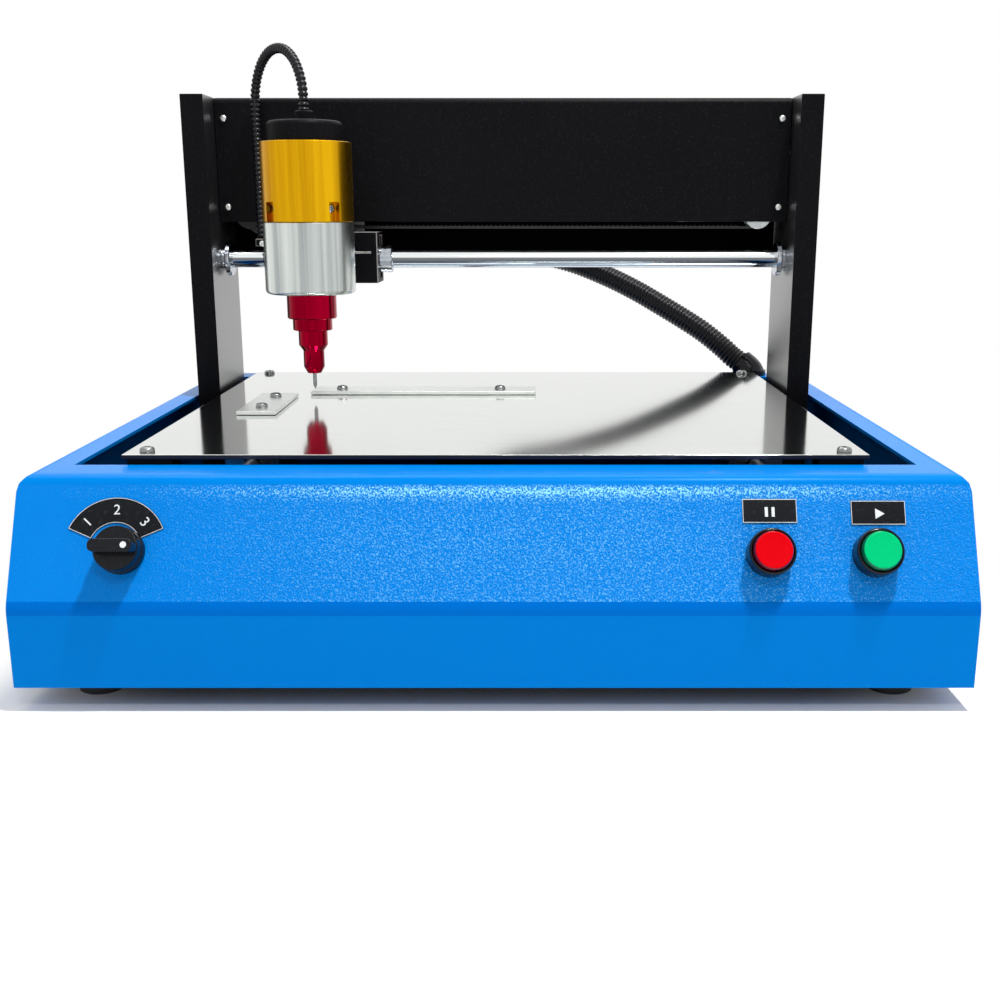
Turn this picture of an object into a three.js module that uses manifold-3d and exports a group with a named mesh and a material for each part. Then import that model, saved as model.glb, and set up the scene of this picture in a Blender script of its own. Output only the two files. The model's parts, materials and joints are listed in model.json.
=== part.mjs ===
import * as THREE from 'three';
import { mergeVertices } from 'three/addons/utils/BufferGeometryUtils.js';
import Module from 'manifold-3d';

const wasm = await Module();
wasm.setup();

// A desk-top nameplate marking machine, in millimetres.
// X runs to the right, Y to the back and Z up from the table.
// Pieces are placed from the upright band of the housing's front, Y = 0 there,
// and the whole machine is centred over the origin in the last lines.

// Clearances
const seat = 0.2;
const clearance = 0.3;
const overrun = 2;

// Facets round a turn
const fineSteps = 28;
const roundSteps = 16;
const smallSteps = 10;
const foldSteps = 3;
const arcSteps = 5;

// Sheet-metal housing
const housingWidth = 370;
const housingDepth = 326;
const housingHeight = 79;
const bandHeight = 32;
const panelLean = THREE.MathUtils.degToRad(26);
const sheet = 1.5;
const foldRadius = 6;
const creaseRadius = 12;
const backFoldRadius = 3;
const frontLip = 42;
const sideLip = 15;
const backLip = 20;
const bottomLip = 12;

// Bottom plate and feet
const basePlate = 2;
const basePlateInset = 7;
const footHeight = 8;
const footRadius = 11;
const footTaper = 2;
const footInsetX = 25;
const footInsetY = 26;

// Marking plate, in the housing's opening, and the frames under it
const plateThickness = 2;
const plateRise = 4;
const plateFrontGap = 0.5;
const plateBackGap = 8.5;
const plateSideGap = 4.3;
const postWidth = 18;
const postDepth = 12;
const postInset = 1;
const footBar = 4;

// Fences that the nameplate is pushed against
const fenceWidth = 19;
const fenceThickness = 2;
const longFenceLength = 120;
const shortFenceLength = 60;
const fenceOffset = 3.9;
const fenceReach = 7.4;
const fenceCornerGap = 5.5;
const fenceScrewShare = 0.13;
const fenceScrewFarShare = 0.84;
const shortScrewShare = 0.23;
const shortScrewFarShare = 0.8;

// Screw holes
const screwHole = 1.8;
const screwInset = 7;
const screwInsetX = 8.5;
const screwDepth = 9;

// Lower guides, which carry the gantry
const guideRise = 40;
const railRadius = 5;
const bearingWidth = 30;
const bearingHeight = 24;

// Gantry
const slotGap = 2.7;
const gantryStop = 5;
const uprightThickness = 12;
const uprightDepth = 58;
const beamCrown = 25.5;
const coverRise = 19.9;
const coverSetback = 21.5;
const coverFoldRadius = 3;
const backPanelThickness = 4;
const backPanelDrop = 23;
const tieHeight = 10;
const tieDepth = 15;
const tieGap = 1;

// Rails of the beam
const beamRailRise = 16;
const beamRailRadius = 4;
const beamRailSetback = 25;
const upperRailRise = 59.2;
const upperRailRadius = 3;
const upperRailSetback = 31;
const flangeRadius = 9.2;
const flangeThickness = 2.5;
const flangeHubRadius = 6.5;
const flangeHubLength = 2.5;

// Toothed belts and pulleys
const pulleyInset = 15.3;
const pulleyRise = 23.2;
const pulleySetback = 28.5;
const pulleyDrumRadius = 5.4;
const pulleyFlangeHeight = 1.8;
const pulleyFlange = 1;
const beltWidth = 6;
const beltThickness = 1.3;
const axleRadius = 2.5;

// Stepper motors
const motorSide = 42;
const motorLength = 34;
const motorCorner = 5;
const motorBossRadius = 11;
const motorBoss = 2;

// Carriage on the beam
const homeInset = 56.7;
const blockWidth = 60.4;
const blockDepth = 26;
const blockDrop = 12.7;
const blockRise = 14.7;
const blockRecess = 1.5;
const blockRim = 2.2;
const railBearingRadius = 7.5;
const railBearingLength = 24;
const bearingProudLeft = 3;
const bearingProudRight = 7;
const riserWidth = 40;
const riserThickness = 4;
const riserCrown = 9;
const upperBlockWidth = 24;
const upperBlockHeight = 14;
const upperBlockGap = 1.2;
const jawWidth = 20;
const jawHeight = 5;
const lugLength = 5.5;
const lugDepth = 7;
const lugThickness = 4;
const lugDrop = 3.7;
const saddleWidth = 34;
const saddleRise = 1.9;
const saddleDrop = 1.5;

// Marking head, on an upright axis in front of the beam
const headReach = 25.1;
const headRadius = 23;
const headFillet = 2.3;
const headFilletShare = 0.3;
const bodyHeight = 36.1;
const bodyWall = 3.5;
const bodyFloor = 4;
const ringHeight = 38.9;
const ringWall = 8;
const notchWidth = 6.2;
const notchHeight = 9.6;
const notchDepth = 4;
const notchAngle = THREE.MathUtils.degToRad(45);
const ringScrewDrop = 3;
const capInset = 4;
const capHeight = 10;
const capEdge = 2.5;
const capBossRadius = 4.5;
const capBossHeight = 5;

// Stepped nose of the head
const noseGap = 13;
const noseTipRadius = 3.7;
const noseTipChamfer = 3.4;
const noseStemRadius = 5.4;
const noseStemHeight = 8.3;
const noseShoulderChamfer = 3;
const noseShoulderRadius = 7.5;
const noseShoulderHeight = 7.7;
const noseCollarRadius = 10.15;
const noseCollarHeight = 6;
const noseFlangeRadius = 12.7;
const noseFlangeHeight = 12.4;

// Stylus, its plunger, spring and coil
const stylusGap = 4.7;
const stylusRadius = 1;
const stylusPlay = 0.4;
const stylusPointRadius = 0.35;
const stylusPointHeight = 2;
const plungerRadius = 4.4;
const plungerPlay = 0.6;
const plungerLength = 38;
const springSeatRise = 1.3;
const springSpace = 16;
const springStep = 0.2;
const springWire = 1.2;
const coilBore = 7;
const coilHeight = 26;
const coilGap = 1;

// Push buttons, placed on the sloping panel
const buttonRise = 20.9;
const redButtonInset = 79.7;
const greenButtonInset = 39;
const bezelRadius = 9;
const bezelHeight = 8.4;
const bezelEdge = 0.9;
const bezelWall = 1;
const wellFloor = 2;
const capGap = 0.4;
const capTravel = 2.8;
const capProud = 2.2;
const capRound = 1;
const bezelOverlap = 1.2;
const barrelLength = 16;
const contactStep = 1.3;
const contactLength = 14;
const nutWall = 2.2;
const nutHeight = 3;

// Selector
const selectorInset = 42.7;
const selectorRise = 22;
const collarHeight = 4;
const knobInset = 0.4;
const knobHeight = 4.6;
const knobEdge = 0.5;
const gripInset = 0.3;
const gripWidth = 5;
const gripHeight = 6.3;
const dotRadius = 1.25;
const dotInset = 3;
const dotRelief = 0.3;

// Back of the housing
const socketRise = 38;
const inletInset = 75;
const inletPocketWidth = 22;
const inletPocketHeight = 15;
const inletPocketDepth = 16;
const inletWall = 2.5;
const inletFloor = 6;
const inletMargin = 2;
const inletFlange = 2;
const bladeWidth = 2;
const bladeHeight = 4;
const bladeLength = 9;
const bladeSpread = 14;
const bladeDrop = 2.5;
const switchPitch = 44;
const switchRim = 1.5;
const switchMargin = 1.5;
const switchWall = 0.7;
const switchEndWall = 1.3;
const switchFloor = 3.3;
const rockerWidth = 11;
const rockerHeight = 16;
const rockerTilt = THREE.MathUtils.degToRad(12);
const rockerWaist = 2.2;
const rockerPivotDepth = 1.5;
const dataPitch = 46;
const dataMargin = 3;
const dataHeight = 12.5;
const dataFlange = 1;
const dataNoseWidth = 19;
const dataNoseHeight = 9;
const dataNoseDepth = 6;
const dataSlant = 1.5;
const dataBodyDepth = 10;
const jackRadius = 2.4;
const jackLength = 6;
const jackSpread = 25;

// Drive of the gantry, inside the housing
const driveDrop = 6;
const driveMotorInset = 12.5;
const idlerInset = 2.5;
const bracketWidth = 8;
const bracketDepth = 18;

// Electronics inside the housing
const supplyWidth = 70;
const supplyDepth = 150;
const supplyHeight = 34;
const supplySideGap = 6.7;
const supplyFrontGap = 25;
const boardWidth = 70;
const boardDepth = 130;
const boardSideGap = 9.7;
const boardFrontGap = 35;
const boardThickness = 1.6;
const boardPostHeight = 8;
const boardPostRadius = 3;
const boardPostInset = 5;
const terminalWidth = 10;
const terminalHeight = 12;
const chipSide = 20;
const chipHeight = 4;
const sinkHeight = 14;

// Ribbed conduits, the thick one from the beam to the housing and the thin one at the head
const conduitRadius = 6.75;
const conduitRoot = 5.75;
const conduitBore = 4.6;
const conduitPitch = 3;
const headConduitRadius = 2.6;
const headConduitRoot = 2.1;
const headConduitBore = 1.5;
const headConduitPitch = 3.1;
const hoseSteps = 8;
const boreRingSteps = 10;

// Elbows that the thick conduit's ends stand in
const elbowRadius = 8.3;
const elbowDisc = 9;
const elbowDiscHeight = 3;
const beamElbowX = 58;
const beamElbowRise = 72;
const beamElbowReach = 13.9;
const beamElbowLeg = 14.5;
const housingElbowInset = 32;
const housingElbowRise = 2.6;
const housingElbowLeg = 8.2;
const housingElbowDrop = THREE.MathUtils.degToRad(32);
const housingElbowSwing = THREE.MathUtils.degToRad(30);

// Levels that follow from the sizes above
const housingBottom = footHeight + basePlate;
const housingTop = housingBottom + housingHeight;
const creaseLevel = housingBottom + bandHeight;
const plateTop = housingTop + plateRise;
const plateBottom = plateTop - plateThickness;
const fenceTop = plateTop + fenceThickness;
const floorLevel = housingBottom + seat;
const railLevel = housingBottom + guideRise;
const bearingBottom = railLevel - bearingHeight / 2;
const driveLevel = railLevel - driveDrop;
const socketLevel = housingBottom + socketRise;
const stylusTip = plateTop + stylusGap;
const noseTip = plateTop + noseGap;
const noseStemBottom = noseTip + noseTipChamfer;
const noseStemTop = noseStemBottom + noseStemHeight;
const noseShoulderBottom = noseStemTop + noseShoulderChamfer;
const noseShoulderTop = noseShoulderBottom + noseShoulderHeight;
const noseCollarTop = noseShoulderTop + noseCollarHeight;
const noseTop = noseCollarTop + noseFlangeHeight;
const bodyBottom = noseTop + seat;
const bodyTop = noseTop + bodyHeight;
const ringBottom = bodyTop + seat;
const ringTop = ringBottom + ringHeight;
const springSeat = noseShoulderBottom + springSeatRise;
const plungerBottom = springSeat + springSpace;
const plungerTop = plungerBottom + plungerLength;
const coilBottom = bodyBottom + bodyFloor + coilGap;
const coilTop = coilBottom + coilHeight;
const beamRailLevel = noseTop + beamRailRise;
const upperRailLevel = beamRailLevel + upperRailRise;
const pulleyLevel = beamRailLevel + pulleyRise;
const beamTop = upperRailLevel + beamCrown;
const coverBottom = beamRailLevel + coverRise;
const backPanelBottom = pulleyLevel - backPanelDrop;
const beamElbowLevel = backPanelBottom + beamElbowRise;
const blockBottom = beamRailLevel - blockDrop;
const blockTop = beamRailLevel + blockRise;
const lugTop = blockTop - lugDrop;
const saddleBottom = blockBottom + saddleRise;
const riserTop = upperRailLevel + riserCrown;

// Places from side to side
const uprightOuter = housingWidth / 2 - sideLip - slotGap;
const uprightInner = uprightOuter - uprightThickness;
const plateWidth = 2 * (uprightInner - plateSideGap);
const railX = uprightInner - clearance - bearingWidth / 2;
const tieEnd = railX - bearingWidth / 2 - clearance;
const beamEnd = uprightInner - clearance;
const pulleyX = uprightInner - pulleyInset;
const homeX = homeInset - uprightInner;
const supplyX = supplySideGap + supplyWidth / 2 - tieEnd;
const boardX = tieEnd - boardSideGap - boardWidth / 2;
const redButtonX = housingWidth / 2 - redButtonInset;
const greenButtonX = housingWidth / 2 - greenButtonInset;
const selectorX = selectorInset - housingWidth / 2;
const inletX = inletInset - housingWidth / 2;
const switchX = inletX + switchPitch;
const dataX = switchX + dataPitch;

// Places from front to back
const panelRun = (housingTop - creaseLevel) * Math.tan(panelLean);
const openingBack = housingDepth - backLip;
const plateFront = frontLip + plateFrontGap;
const plateBack = openingBack - plateBackGap;
const frontPostStart = plateFront + postInset;
const backPostStart = plateBack - postInset - postDepth;
const driveMotorY = plateBack - driveMotorInset;
const idlerY = plateFront + idlerInset;
const supplyFront = idlerY + supplyFrontGap;
const boardFront = idlerY + boardFrontGap;
const backFace = housingDepth + seat;
const housingElbowX = housingWidth / 2 - housingElbowInset;
const housingElbowY = (openingBack + housingDepth) / 2;
const gantryY = backPostStart - gantryStop - uprightDepth / 2;
const gantryFront = -uprightDepth / 2;
const gantryRear = uprightDepth / 2;
const coverFace = gantryFront + coverSetback;
const beamRailY = gantryFront + beamRailSetback;
const upperRailY = gantryFront + upperRailSetback;
const pulleyY = gantryFront + pulleySetback;
const backPanelFront = gantryRear - backPanelThickness;
const blockFront = beamRailY - blockDepth / 2;
const blockBack = beamRailY + blockDepth / 2;
const blockHalf = blockWidth / 2;
const riserFront = blockBack + seat;
const headY = gantryFront - headReach;
const fenceCornerX = homeX - fenceOffset;
const fenceCornerY = gantryY + headY + fenceReach;

// Sizes of pieces that fit in or on one another
const pulleyHalfWidth = beltWidth / 2 + clearance + pulleyFlange;
const pulleyFlangeRadius = pulleyDrumRadius + pulleyFlangeHeight;
const pulleyBore = axleRadius + clearance;
const beltInner = pulleyDrumRadius + clearance;
const beltOuter = beltInner + beltThickness;
const tieBottom = driveLevel + beltOuter + tieGap;
const ringBore = headRadius - ringWall;
const capRadius = headRadius - capInset;
const coilRadius = headRadius - bodyWall - coilGap;
const noseBore = stylusRadius + stylusPlay;
const springBore = plungerRadius + plungerPlay;
const springRadius = plungerRadius - springStep;
const bodyBore = springBore + clearance;
const wellRadius = bezelRadius - bezelWall;
const buttonCapRadius = wellRadius - capGap;
const capRest = wellFloor + capTravel;
const buttonCapTop = bezelHeight + capProud;
const barrelRadius = bezelRadius - bezelOverlap;
const contactRadius = barrelRadius - contactStep;
const nutRadius = barrelRadius + nutWall;
const knobRadius = bezelRadius - knobInset;
const gripLength = 2 * (knobRadius - gripInset);
const inletBodyWidth = inletPocketWidth + 2 * inletWall;
const inletBodyHeight = inletPocketHeight + 2 * inletWall;
const inletBodyDepth = inletPocketDepth + inletFloor;
const rockerEnd = rockerWaist + rockerHeight / 2 * Math.tan(rockerTilt);
const rockerReach = Math.hypot(rockerHeight / 2, rockerEnd);
const rockerPivot = backFace + switchRim - rockerPivotDepth;
const switchBodyWidth = rockerWidth + 2 * (clearance + switchWall);
const switchBodyHeight = 2 * (rockerReach + clearance + switchEndWall);
const switchBodyDepth = rockerPivotDepth + rockerReach + clearance + switchFloor;

// Geometry helpers

// Merges the corners of a geometry, drops empty triangles and turns its faces outwards.
function closed(geometry) {
  const bare = geometry.clone();
  for (const name of Object.keys(bare.attributes)) {
    if (name !== 'position') bare.deleteAttribute(name);
  }
  const merged = mergeVertices(bare);
  const corners = merged.index.array;
  const points = merged.attributes.position;
  const kept = [];
  let volume = 0;
  const [a, b, c] = [new THREE.Vector3(), new THREE.Vector3(), new THREE.Vector3()];
  for (let i = 0; i < corners.length; i += 3) {
    const [p, q, r] = [corners[i], corners[i + 1], corners[i + 2]];
    if (p === q || q === r || r === p) continue;
    kept.push(p, q, r);
    a.fromBufferAttribute(points, p);
    b.fromBufferAttribute(points, q);
    c.fromBufferAttribute(points, r);
    volume += a.dot(b.cross(c));
  }
  if (volume < 0) kept.reverse();
  merged.setIndex(kept);
  return merged;
}

function toSolid(geometry) {
  const mesh = closed(geometry);
  return new wasm.Manifold(new wasm.Mesh({
    numProp: 3,
    vertProperties: new Float32Array(mesh.attributes.position.array),
    triVerts: new Uint32Array(mesh.index.array),
  }));
}

function toGeometry(solid) {
  const mesh = solid.getMesh();
  const geometry = new THREE.BufferGeometry();
  geometry.setAttribute('position', new THREE.BufferAttribute(new Float32Array(mesh.vertProperties), 3));
  geometry.setIndex(Array.from(mesh.triVerts));
  return geometry;
}

function join(first, ...others) {
  return toGeometry(others.reduce((solid, other) => solid.add(toSolid(other)), toSolid(first)));
}

function cut(first, ...others) {
  return toGeometry(others.reduce((solid, other) => solid.subtract(toSolid(other)), toSolid(first)));
}

function common(first, second) {
  return toGeometry(toSolid(first).intersect(toSolid(second)));
}

// A box between two limits along each axis.
function block([x0, x1], [y0, y1], [z0, z1]) {
  const box = new THREE.BoxGeometry(x1 - x0, y1 - y0, z1 - z0);
  return box.translate((x0 + x1) / 2, (y0 + y1) / 2, (z0 + z1) / 2);
}

function around(middle, size) {
  return [middle - size / 2, middle + size / 2];
}

// Turns what was made along Z so that it runs along the named axis.
function along(axis, geometry) {
  if (axis === 'x') geometry.rotateY(Math.PI / 2);
  if (axis === 'y') geometry.rotateX(-Math.PI / 2);
  return geometry;
}

function rod(axis, radius, start, end, steps = smallSteps) {
  const cylinder = new THREE.CylinderGeometry(radius, radius, end - start, steps);
  cylinder.rotateX(Math.PI / 2).translate(0, 0, (start + end) / 2);
  return along(axis, cylinder);
}

// A profile of [radius, height] points turned about Z.
function turned(profile, steps = roundSteps) {
  const points = profile.map(([radius, height]) => new THREE.Vector2(radius, height));
  return closed(new THREE.LatheGeometry([...points, points[0]], steps).rotateX(Math.PI / 2));
}

// A shape in the plane across the named axis, pushed out along it.
function extruded(axis, shape, start, end) {
  const geometry = new THREE.ExtrudeGeometry(shape, {
    depth: end - start, bevelEnabled: false, curveSegments: arcSteps,
  });
  geometry.translate(0, 0, start);
  const [x, y, z] = [[1, 0, 0], [0, 1, 0], [0, 0, 1]].map((parts) => new THREE.Vector3(...parts));
  const bases = { x: [y, z, x], y: [x, z, y], z: [x, y, z] };
  return closed(geometry.applyMatrix4(new THREE.Matrix4().makeBasis(...bases[axis])));
}

// An outline of [x, y, radius] corners, run counter-clockwise, with each corner rounded.
function rounded(corners, steps = foldSteps) {
  const outline = [];
  corners.forEach(([x, y, radius = 0], i) => {
    const corner = new THREE.Vector2(x, y);
    const before = corners[(i + corners.length - 1) % corners.length];
    const after = corners[(i + 1) % corners.length];
    const toBefore = new THREE.Vector2(before[0], before[1]).sub(corner).normalize();
    const toAfter = new THREE.Vector2(after[0], after[1]).sub(corner).normalize();
    if (radius === 0) {
      outline.push(corner);
      return;
    }
    const half = Math.acos(toBefore.dot(toAfter)) / 2;
    const middle = toBefore.clone().add(toAfter).normalize();
    const centre = corner.clone().addScaledVector(middle, radius / Math.sin(half));
    const reach = radius / Math.tan(half);
    const first = corner.clone().addScaledVector(toBefore, reach).sub(centre).angle();
    const last = corner.clone().addScaledVector(toAfter, reach).sub(centre).angle();
    const turn = Math.atan2(Math.sin(last - first), Math.cos(last - first));
    for (let step = 0; step <= steps; step += 1) {
      const angle = first + turn * step / steps;
      outline.push(new THREE.Vector2(Math.cos(angle), Math.sin(angle)).multiplyScalar(radius).add(centre));
    }
  });
  return new THREE.Shape(outline);
}

// The same outline with every side moved inwards and the rounds made smaller by as much.
function inset(corners, distance) {
  return corners.map(([x, y, radius = 0], i) => {
    const corner = new THREE.Vector2(x, y);
    const before = corners[(i + corners.length - 1) % corners.length];
    const after = corners[(i + 1) % corners.length];
    const arriving = corner.clone().sub(new THREE.Vector2(before[0], before[1])).normalize();
    const leaving = new THREE.Vector2(after[0], after[1]).sub(corner).normalize();
    const normals = new THREE.Vector2(-arriving.y - leaving.y, arriving.x + leaving.x);
    const moved = corner.addScaledVector(normals, distance / (1 + arriving.dot(leaving)));
    return [moved.x, moved.y, Math.max(radius - distance, 0)];
  });
}

// A ribbed hose along a curve: crests and roots outside, a plain bore inside.
function ribbedHose(curve, outer, root, bore, pitch) {
  const ribs = Math.round(curve.getLength() / pitch);
  const last = 2 * ribs;
  const frames = curve.computeFrenetFrames(last, false);
  const points = [];
  const index = [];
  const ring = (at, radius) => {
    const centre = curve.getPointAt(at / last);
    for (let side = 0; side < hoseSteps; side += 1) {
      const angle = 2 * Math.PI * side / hoseSteps;
      const point = centre.clone();
      point.addScaledVector(frames.normals[at], radius * Math.cos(angle));
      point.addScaledVector(frames.binormals[at], radius * Math.sin(angle));
      points.push(point.x, point.y, point.z);
    }
    return points.length / 3 - hoseSteps;
  };
  const band = (from, to) => {
    for (let side = 0; side < hoseSteps; side += 1) {
      const next = (side + 1) % hoseSteps;
      index.push(from + side, from + next, to + next);
      index.push(from + side, to + next, to + side);
    }
  };
  const outside = [];
  for (let at = 0; at <= last; at += 1) outside.push(ring(at, at % 2 ? outer : root));
  const inside = [];
  for (let at = 0; at < last; at += boreRingSteps) inside.push(ring(at, bore));
  inside.push(ring(last, bore));
  for (let at = 0; at < last; at += 1) band(outside[at], outside[at + 1]);
  for (let at = inside.length - 1; at > 0; at -= 1) band(inside[at], inside[at - 1]);
  band(inside[0], outside[0]);
  band(outside[last], inside[inside.length - 1]);
  const hose = new THREE.BufferGeometry();
  hose.setAttribute('position', new THREE.Float32BufferAttribute(points, 3));
  hose.setIndex(index);
  return closed(hose);
}

// A round bar along a curve, for the bent conduit fittings.
function bentBar(curve, radius, steps) {
  const section = new THREE.Shape().absarc(0, 0, radius, 0, 2 * Math.PI);
  return closed(new THREE.ExtrudeGeometry(section, {
    extrudePath: curve, steps, curveSegments: arcSteps, bevelEnabled: false,
  }));
}

// Finishes
function finish(colour, roughness, metalness) {
  return new THREE.MeshStandardMaterial({ color: colour, roughness, metalness, flatShading: true });
}

const finishes = {
  paint: () => finish(0x0a7fe0, 0.45, 0.1),
  blackPaint: () => finish(0x101114, 0.45, 0.2),
  mirrorSteel: () => finish(0xdadcd8, 0.08, 1),
  steel: () => finish(0xb9bcbe, 0.3, 0.9),
  chrome: () => finish(0xd5d8dc, 0.12, 1),
  aluminium: () => finish(0xc3c7c2, 0.35, 0.85),
  gold: () => finish(0xd9a012, 0.35, 0.8),
  red: () => finish(0xa8002c, 0.3, 0.7),
  rubber: () => finish(0x17181a, 0.85, 0),
  plastic: () => finish(0x0e0f12, 0.5, 0),
  redLens: () => finish(0xe60a14, 0.35, 0),
  greenLens: () => finish(0x08c878, 0.35, 0),
  board: () => finish(0x1d6b3a, 0.55, 0),
  copper: () => finish(0xa8622e, 0.4, 0.7),
};

function piece(name, geometry, material, place = [0, 0, 0]) {
  const mesh = new THREE.Mesh(geometry, material());
  mesh.name = name;
  mesh.position.set(...place);
  return mesh;
}

function assembly(pieces, place = [0, 0, 0]) {
  const group = new THREE.Group();
  group.add(...pieces);
  group.position.set(...place);
  return group;
}

function holesAt(places, radius, low, high) {
  const hole = rod('z', radius, low, high);
  return places.map(([x, y]) => hole.clone().translate(x, y, 0));
}

// Housing

function sideOutline() {
  return [
    [0, housingBottom, 0],
    [housingDepth, housingBottom, 0],
    [housingDepth, housingTop, backFoldRadius],
    [panelRun, housingTop, foldRadius],
    [0, creaseLevel, creaseRadius],
  ];
}

function frontOutline() {
  const half = housingWidth / 2;
  return [
    [-half, housingBottom, 0],
    [half, housingBottom, 0],
    [half, housingTop, foldRadius],
    [-half, housingTop, foldRadius],
  ];
}

// Puts what was made square to the sloping panel in its place on the housing.
function onPanel(geometry, x, rise) {
  geometry.rotateX(Math.PI / 2 - panelLean);
  return geometry.translate(x, rise * Math.sin(panelLean), creaseLevel + rise * Math.cos(panelLean));
}

function housingShell() {
  const body = common(
    extruded('x', rounded(sideOutline()), -housingWidth / 2, housingWidth / 2),
    extruded('y', rounded(frontOutline()), -overrun, housingDepth + overrun),
  );
  const room = common(
    extruded('x', rounded(inset(sideOutline(), sheet)), sheet - housingWidth / 2, housingWidth / 2 - sheet),
    extruded('y', rounded(inset(frontOutline(), sheet)), -overrun, housingDepth + overrun),
  );
  const opening = block(
    around(0, housingWidth - 2 * sideLip),
    [frontLip, housingDepth - backLip],
    [housingTop - sheet - overrun, housingTop + overrun],
  );
  const underside = block(
    around(0, housingWidth - 2 * bottomLip),
    [bottomLip, housingDepth - bottomLip],
    [housingBottom - overrun, housingBottom + sheet + overrun],
  );
  const panelHoles = [redButtonX, greenButtonX, selectorX].map((x) => {
    const hole = rod('z', barrelRadius + clearance, -sheet - overrun, overrun, roundSteps);
    return onPanel(hole, x, x === selectorX ? selectorRise : buttonRise);
  });
  const wall = [housingDepth - sheet - overrun, housingDepth + overrun];
  const backHoles = [
    block(around(inletX, inletBodyWidth + 2 * clearance), wall,
      around(socketLevel, inletBodyHeight + 2 * clearance)),
    block(around(switchX, switchBodyWidth + 2 * clearance), wall,
      around(socketLevel, switchBodyHeight + 2 * clearance)),
    block(around(dataX, dataNoseWidth + 2 * clearance), wall,
      around(socketLevel, dataNoseHeight + 2 * clearance)),
    rod('z', conduitBore, housingTop - sheet - overrun, housingTop + overrun)
      .translate(housingElbowX, housingElbowY, 0),
  ];
  return piece('housing_shell', cut(body, room, opening, underside, ...panelHoles, ...backHoles),
    finishes.paint);
}

function bottomPlate() {
  const plate = block(
    around(0, housingWidth - 2 * basePlateInset),
    [basePlateInset, housingDepth - basePlateInset],
    [footHeight, housingBottom - seat],
  );
  return piece('bottom_plate', plate, finishes.blackPaint);
}

function rubberFeet() {
  const foot = turned([
    [0, 0],
    [footRadius - footTaper, 0],
    [footRadius, footHeight - seat],
    [0, footHeight - seat],
  ]);
  const x = housingWidth / 2 - footInsetX;
  const back = housingDepth - footInsetY;
  return [
    piece('front_left_foot', foot, finishes.rubber, [-x, footInsetY, 0]),
    piece('front_right_foot', foot, finishes.rubber, [x, footInsetY, 0]),
    piece('back_left_foot', foot, finishes.rubber, [-x, back, 0]),
    piece('back_right_foot', foot, finishes.rubber, [x, back, 0]),
  ];
}

// Marking plate, posts and fences

const plateScrewPlaces = [-1, 1].flatMap((side) => {
  const x = side * (plateWidth / 2 - screwInsetX);
  return [[x, plateFront + screwInset], [x, plateBack - screwInset]];
});

const longFenceEnd = fenceCornerX + longFenceLength;
const shortFenceX = fenceCornerX - fenceCornerGap - fenceWidth / 2;
const shortFenceBack = fenceCornerY - fenceCornerGap;
const shortFenceFront = shortFenceBack - shortFenceLength;
const longFenceY = fenceCornerY + fenceWidth / 2;

const longScrewPlaces = [fenceScrewShare, fenceScrewFarShare].map((share) => (
  [fenceCornerX + share * longFenceLength, longFenceY]));
const shortScrewPlaces = [shortScrewShare, shortScrewFarShare].map((share) => (
  [shortFenceX, shortFenceFront + share * shortFenceLength]));

// A post at each end of a guide rail, joined by a foot bar along the floor of the housing.
function railFrame(name, x) {
  const posts = [frontPostStart, backPostStart].map((start) => (
    block(around(x, postWidth), [start, start + postDepth], [floorLevel, plateBottom - seat])));
  const bar = block(around(x, postWidth), [frontPostStart, backPostStart + overrun],
    [floorLevel, floorLevel + footBar]);
  const railHole = rod('y', railRadius + clearance, frontPostStart - overrun, plateBack, roundSteps)
    .translate(x, 0, railLevel);
  const holes = holesAt(plateScrewPlaces, screwHole, plateBottom - screwDepth, plateTop);
  return piece(name, cut(join(...posts, bar), railHole, ...holes), finishes.aluminium);
}

function markingPlate() {
  const plate = block(around(0, plateWidth), [plateFront, plateBack], [plateBottom, plateTop]);
  const places = [...plateScrewPlaces, ...longScrewPlaces, ...shortScrewPlaces];
  const holes = holesAt(places, screwHole, plateBottom - overrun, plateTop + overrun);
  return piece('marking_plate', cut(plate, ...holes), finishes.mirrorSteel);
}

function fences() {
  const level = [plateTop + seat, fenceTop];
  const long = block([fenceCornerX, longFenceEnd], around(longFenceY, fenceWidth), level);
  const short = block(around(shortFenceX, fenceWidth), [shortFenceFront, shortFenceBack], level);
  const through = [plateTop - overrun, fenceTop + overrun];
  return [
    piece('long_fence', cut(long, ...holesAt(longScrewPlaces, screwHole, ...through)), finishes.steel),
    piece('short_fence', cut(short, ...holesAt(shortScrewPlaces, screwHole, ...through)), finishes.steel),
  ];
}

// Drive of the gantry

function lowerRails() {
  const rail = rod('y', railRadius, frontPostStart, backPostStart + postDepth, roundSteps);
  return [
    piece('left_guide_rail', rail, finishes.chrome, [-railX, 0, railLevel]),
    piece('right_guide_rail', rail, finishes.chrome, [railX, 0, railLevel]),
  ];
}

// A square motor on the Z axis, its front face at zero and its shaft standing up.
function motor(shaftLength) {
  const half = motorSide / 2;
  const corner = motorCorner;
  const outline = rounded([
    [-half, -half, corner], [half, -half, corner], [half, half, corner], [-half, half, corner],
  ], 1);
  return join(
    extruded('z', outline, -motorLength, 0),
    rod('z', motorBossRadius, -seat, motorBoss, roundSteps),
    rod('z', axleRadius, -seat, shaftLength),
  );
}

function pulley() {
  const flangeStart = beltWidth / 2 + clearance;
  return turned([
    [pulleyBore, -pulleyHalfWidth],
    [pulleyFlangeRadius, -pulleyHalfWidth],
    [pulleyFlangeRadius, -flangeStart],
    [pulleyDrumRadius, -flangeStart],
    [pulleyDrumRadius, flangeStart],
    [pulleyFlangeRadius, flangeStart],
    [pulleyFlangeRadius, pulleyHalfWidth],
    [pulleyBore, pulleyHalfWidth],
  ], roundSteps);
}

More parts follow.
